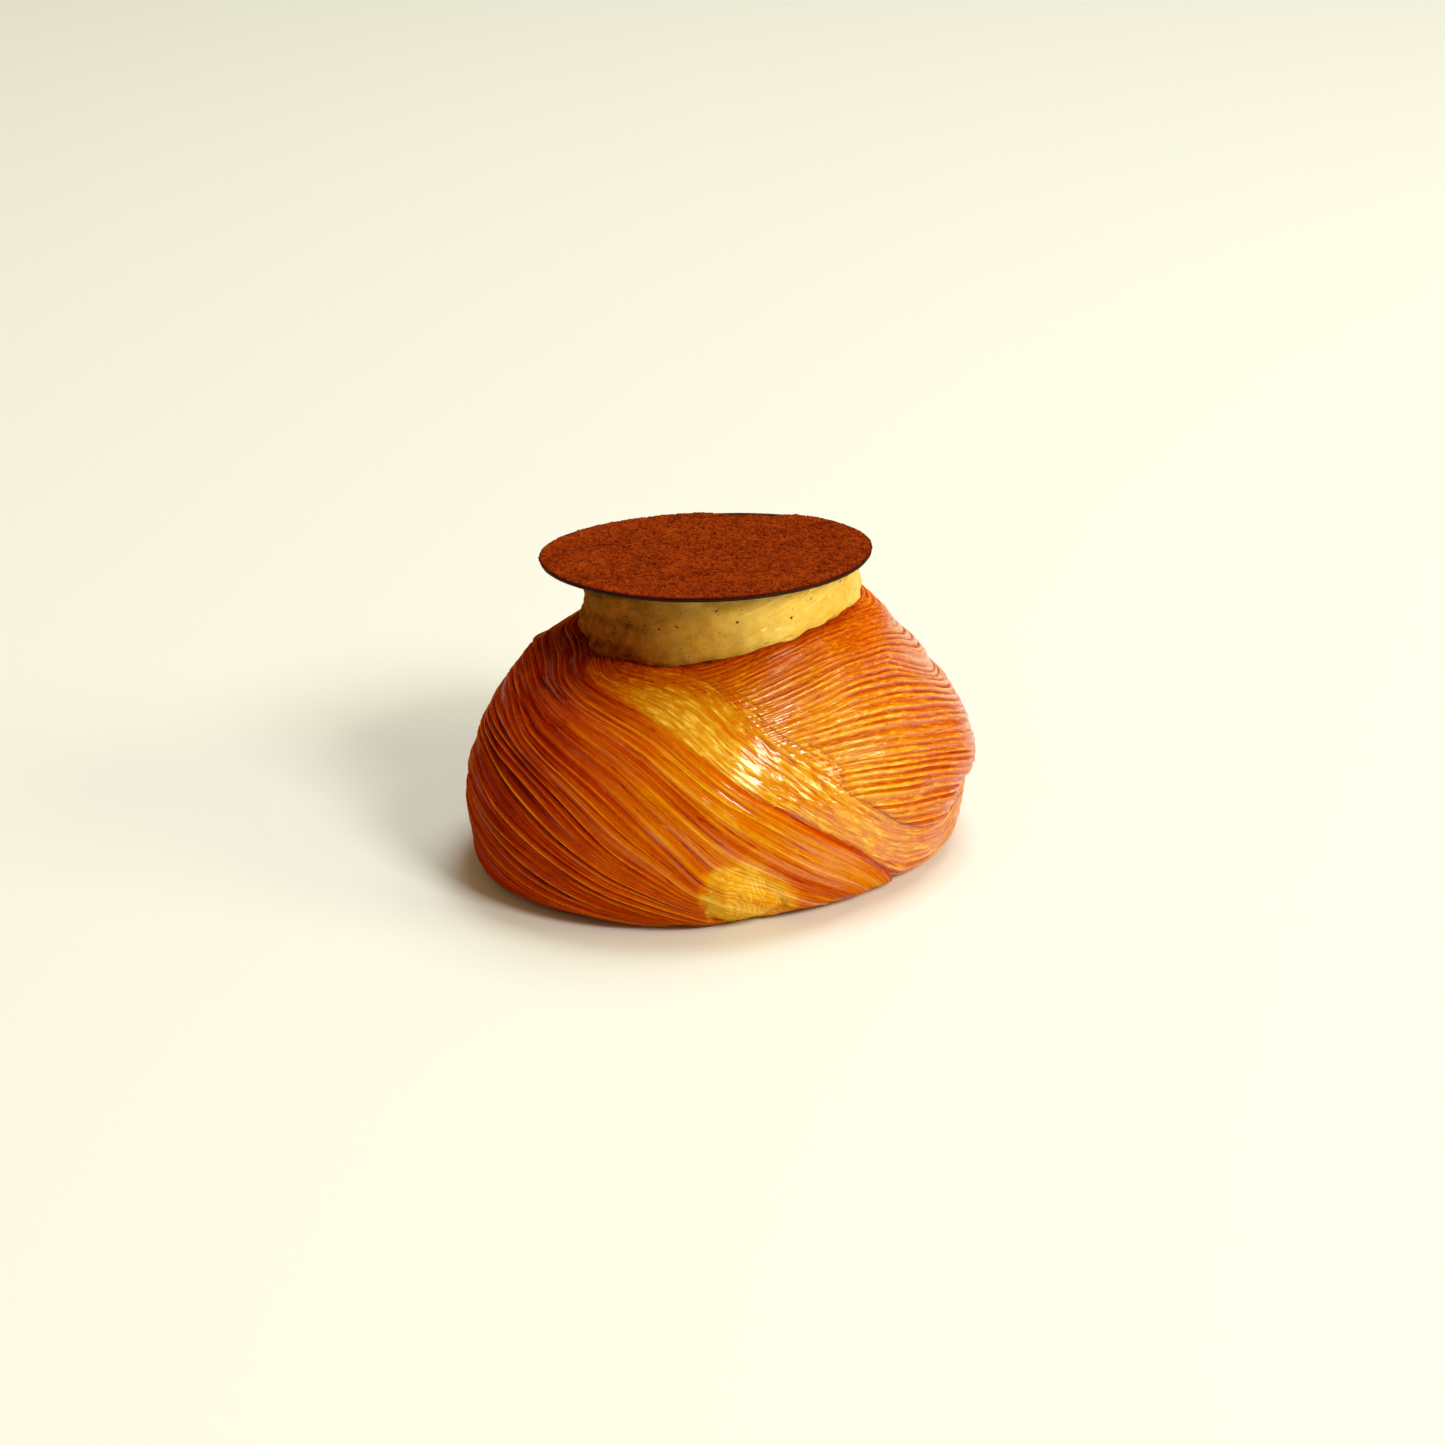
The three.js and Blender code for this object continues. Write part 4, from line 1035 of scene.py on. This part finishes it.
n = Nodes("custard")
obj_c = n.coords(1.0)
soft_c = n.noise(n.coords(1 / 0.009), 1.0, 2.0, 0.5)
mid_c = n.noise(n.coords(1 / 0.0028), 1.0, 3.0, 0.6)
fine_c = n.noise(n.coords(1 / 0.0007), 1.0, 2.0, 0.6)
wobble = n.noise(n.coords(1 / 0.0012), 1.0, 1.0, 0.5)
speck_vec = n.node("ShaderNodeVectorMath", operation="ADD")
n.put(speck_vec.inputs[0], n.coords((1 / 0.0030, 1 / 0.0020, 1 / 0.0021)))
n.put(speck_vec.inputs[1], n.vector(n.mul(wobble, 0.7), n.mul(mid_c, 0.6), n.mul(fine_c, 0.5)))
speck_d = n.voronoi(speck_vec.outputs[0], 1.0)
speck_r = n.split(n.voronoi(speck_vec.outputs[0], 1.0, out="Color"))[0]
small_vec = n.coords((1 / 0.0014, 1 / 0.0014, 1 / 0.0011), (3, 5, 7))
small_d = n.voronoi(small_vec, 1.0)
small_r = n.split(n.voronoi(small_vec, 1.0, out="Color"))[0]
speck = n.mul(n.remap(speck_d, 0.09, 0.14, 1.0, 0.0), n.remap(speck_r, 0.22, 0.26))
small = n.mul(n.remap(small_d, 0.08, 0.13, 1.0, 0.0), n.remap(small_r, 0.50, 0.54))
under_speck = n.mul(n.remap(speck_d, 0.05, 0.30, 0.5, 0.0), n.remap(speck_r, 0.5, 0.6))
custard = n.ramp(n.add(n.mul(soft_c, 0.55), n.mul(mid_c, 0.30), n.mul(fine_c, 0.15)), [(0.28, srgb(216, 160, 40)), (0.45, srgb(230, 186, 70)), (0.60, srgb(236, 204, 100)), (0.75, srgb(246, 224, 138))])
# painted shade: the custard is mixed towards dark brownish orange where the cream is shaded
painted_shade = n.attribute("painted_shade")
custard = n.mix(painted_shade, custard, n.ramp(mid_c, [(0.3, srgb(92, 30, 0)), (0.7, srgb(156, 74, 2))]))
custard = n.mix(under_speck, custard, srgb(170, 120, 50))
custard = n.mix(n.math("MAXIMUM", speck, n.mul(small, 0.85)), custard, srgb(70, 34, 14))
c_height = n.add(n.mul(mid_c, 0.5), n.mul(fine_c, 0.25))
CREAM = n.surface(Base_Color=custard, Roughness=n.remap(mid_c, 0.3, 0.7, 0.30, 0.46, "LINEAR"), Normal=n.bump(c_height, 0.00045, 0.8), Subsurface_Weight=0.45,
                  Subsurface_Radius=(1.0, 0.62, 0.22), Subsurface_Scale=0.0030, Specular_IOR_Level=0.0, Coat_Weight=n.remap(painted_shade, 0.1, 0.6, 0.45, 0.0), Coat_Roughness=0.20, Coat_Normal=n.bump(n.add(n.mul(mid_c, 0.6), n.mul(soft_c, 0.6)), 0.0004, 0.6), IOR=1.42)

n = Nodes("dark_chocolate")
ch_patch = n.noise(n.coords(1 / 0.006), 1.0, 3.0, 0.6)
ch_fine = n.noise(n.coords(1 / 0.0006), 1.0, 2.0, 0.6)
dust = n.remap(n.noise(n.coords(1 / 0.0004), 1.0, 3.0, 0.7), 0.55, 0.72)
choc = n.ramp(n.add(n.mul(ch_patch, 0.7), n.mul(ch_fine, 0.3)), [(0.3, srgb(30, 7, 2)), (0.55, srgb(44, 12, 3)), (0.75, srgb(58, 18, 6))])
choc = n.mix(n.mul(dust, 0.4), choc, srgb(108, 42, 12))
CHOC = n.surface(Base_Color=choc, Roughness=n.remap(ch_patch, 0.35, 0.65, 0.42, 0.60, "LINEAR"), Normal=n.bump(n.add(n.mul(ch_fine, 0.5), ch_patch), 0.00012, 0.5), Specular_IOR_Level=0.12, IOR=1.5)

n = Nodes("cocoa")
height_shade = n.attribute("grain_height")
co_fine = n.noise(n.coords(1 / 0.00022), 1.0, 3.0, 0.7)
co_mid = n.noise(n.coords(1 / 0.0011), 1.0, 3.0, 0.65)
co_patch = n.noise(n.coords(1 / 0.012), 1.0, 2.0, 0.5)
co_cells = n.voronoi(n.coords(1 / 0.00032), 1.0)
# darker where the powder is low and lighter where it stands high: painted shade in the pits, lighter grain tops
co_tone = n.add(n.mul(height_shade, 0.46), n.mul(co_fine, 0.30), n.mul(co_mid, 0.12), n.mul(co_patch, 0.12), n.mul(co_cells, -0.16), 0.10)
cocoa_colour = n.ramp(co_tone, [(0.30, srgb(44, 5, 0)), (0.44, srgb(92, 22, 1)), (0.58, srgb(144, 50, 5)), (0.74, srgb(178, 76, 16)), (0.95, srgb(202, 106, 44))])
COCOA = n.surface(Base_Color=cocoa_colour, Roughness=0.95, Specular_IOR_Level=0.08, Normal=n.bump(n.add(co_fine, n.mul(co_cells, -0.8)), 0.00025, 0.8), Sheen_Weight=0.0)

PIECES = [(bun, "laminated_bun", "baked_dough", DOUGH), (cream, "vanilla_cream", "vanilla_cream", CREAM), (disc, "chocolate_disc", "dark_chocolate", CHOC), (cocoa, "cocoa_dusting", "cocoa_powder", COCOA)]
for obj, node, slot, mat in PIECES:
    obj.data.materials.append(mat)
    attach(obj, "root")
    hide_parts(node)

# ------------------------------------------------------------------ floor, light and camera
floor_mesh = bpy.data.meshes.new("floor")
floor_mesh.from_pydata([(-3, -3, -0.00004), (3, -3, -0.00004), (3, 3, -0.00004), (-3, 3, -0.00004)], [], [(0, 1, 2, 3)])
floor = bpy.data.objects.new("floor", floor_mesh)
scene.collection.objects.link(floor)
n = Nodes("pale_floor")
floor.data.materials.append(n.surface(Base_Color=(*srgb(241, 246, 252), 1), Roughness=0.60, Specular_IOR_Level=0.15))

world = bpy.data.worlds.new("studio")
scene.world = world
world.use_nodes = True
bg = world.node_tree.nodes["Background"]
bg.inputs[0].default_value = (1.0, 0.70, 0.28, 1)
bg.inputs[1].default_value = 0.26

target = Vector((0.0, 0.0, 0.025))


def softbox(name, azimuth, elevation, distance, size, watts, colour, size_y=None):
    """Azimuth is measured from the camera's side (-Y) towards +X."""
    light = bpy.data.lights.new(name, "AREA")
    light.shape = "RECTANGLE"
    light.size = size
    light.size_y = size_y or size
    light.energy = watts
    light.color = colour
    o = bpy.data.objects.new(name, light)
    az, el = math.radians(azimuth), math.radians(elevation)
    o.location = target + Vector((math.sin(az) * math.cos(el), -math.cos(az) * math.cos(el), math.sin(el))) * distance
    o.rotation_euler = (target - o.location).to_track_quat("-Z", "Y").to_euler()
    scene.collection.objects.link(o)
    return o


softbox("key", 45, 38, 2.0, 0.60, 23.0, (1.0, 0.955, 0.80))
softbox("side", 78, 25, 2.0, 0.80, 11.5, (1.0, 0.905, 0.54), 0.50)
overhead = softbox("top", 150, 66, 2.0, 1.0, 23.0, (0.95, 1.0, 0.90))
overhead.visible_glossy = False
softbox("fill", -50, 30, 2.0, 1.5, 1.3, (1.0, 0.80, 0.50))

cam_data = bpy.data.cameras.new("camera")
cam_data.sensor_fit = "HORIZONTAL"
cam_data.sensor_width = 36.0
cam_data.lens = 36.0 * 3549.0 / 1445.0
cam_data.clip_start, cam_data.clip_end = 0.01, 20.0
cam = bpy.data.objects.new("camera", cam_data)
aim = Vector((0.00029, -0.00323, 0.025))
el = math.radians(22.5)
cam.location = aim + Vector((0, -math.cos(el), math.sin(el))) * 0.7
cam.rotation_euler = (math.radians(90) - el, 0, 0)
scene.collection.objects.link(cam)
scene.camera = cam
scene.view_settings.view_transform = "Standard"
scene.view_settings.look = "None"

bpy.context.view_layer.update()
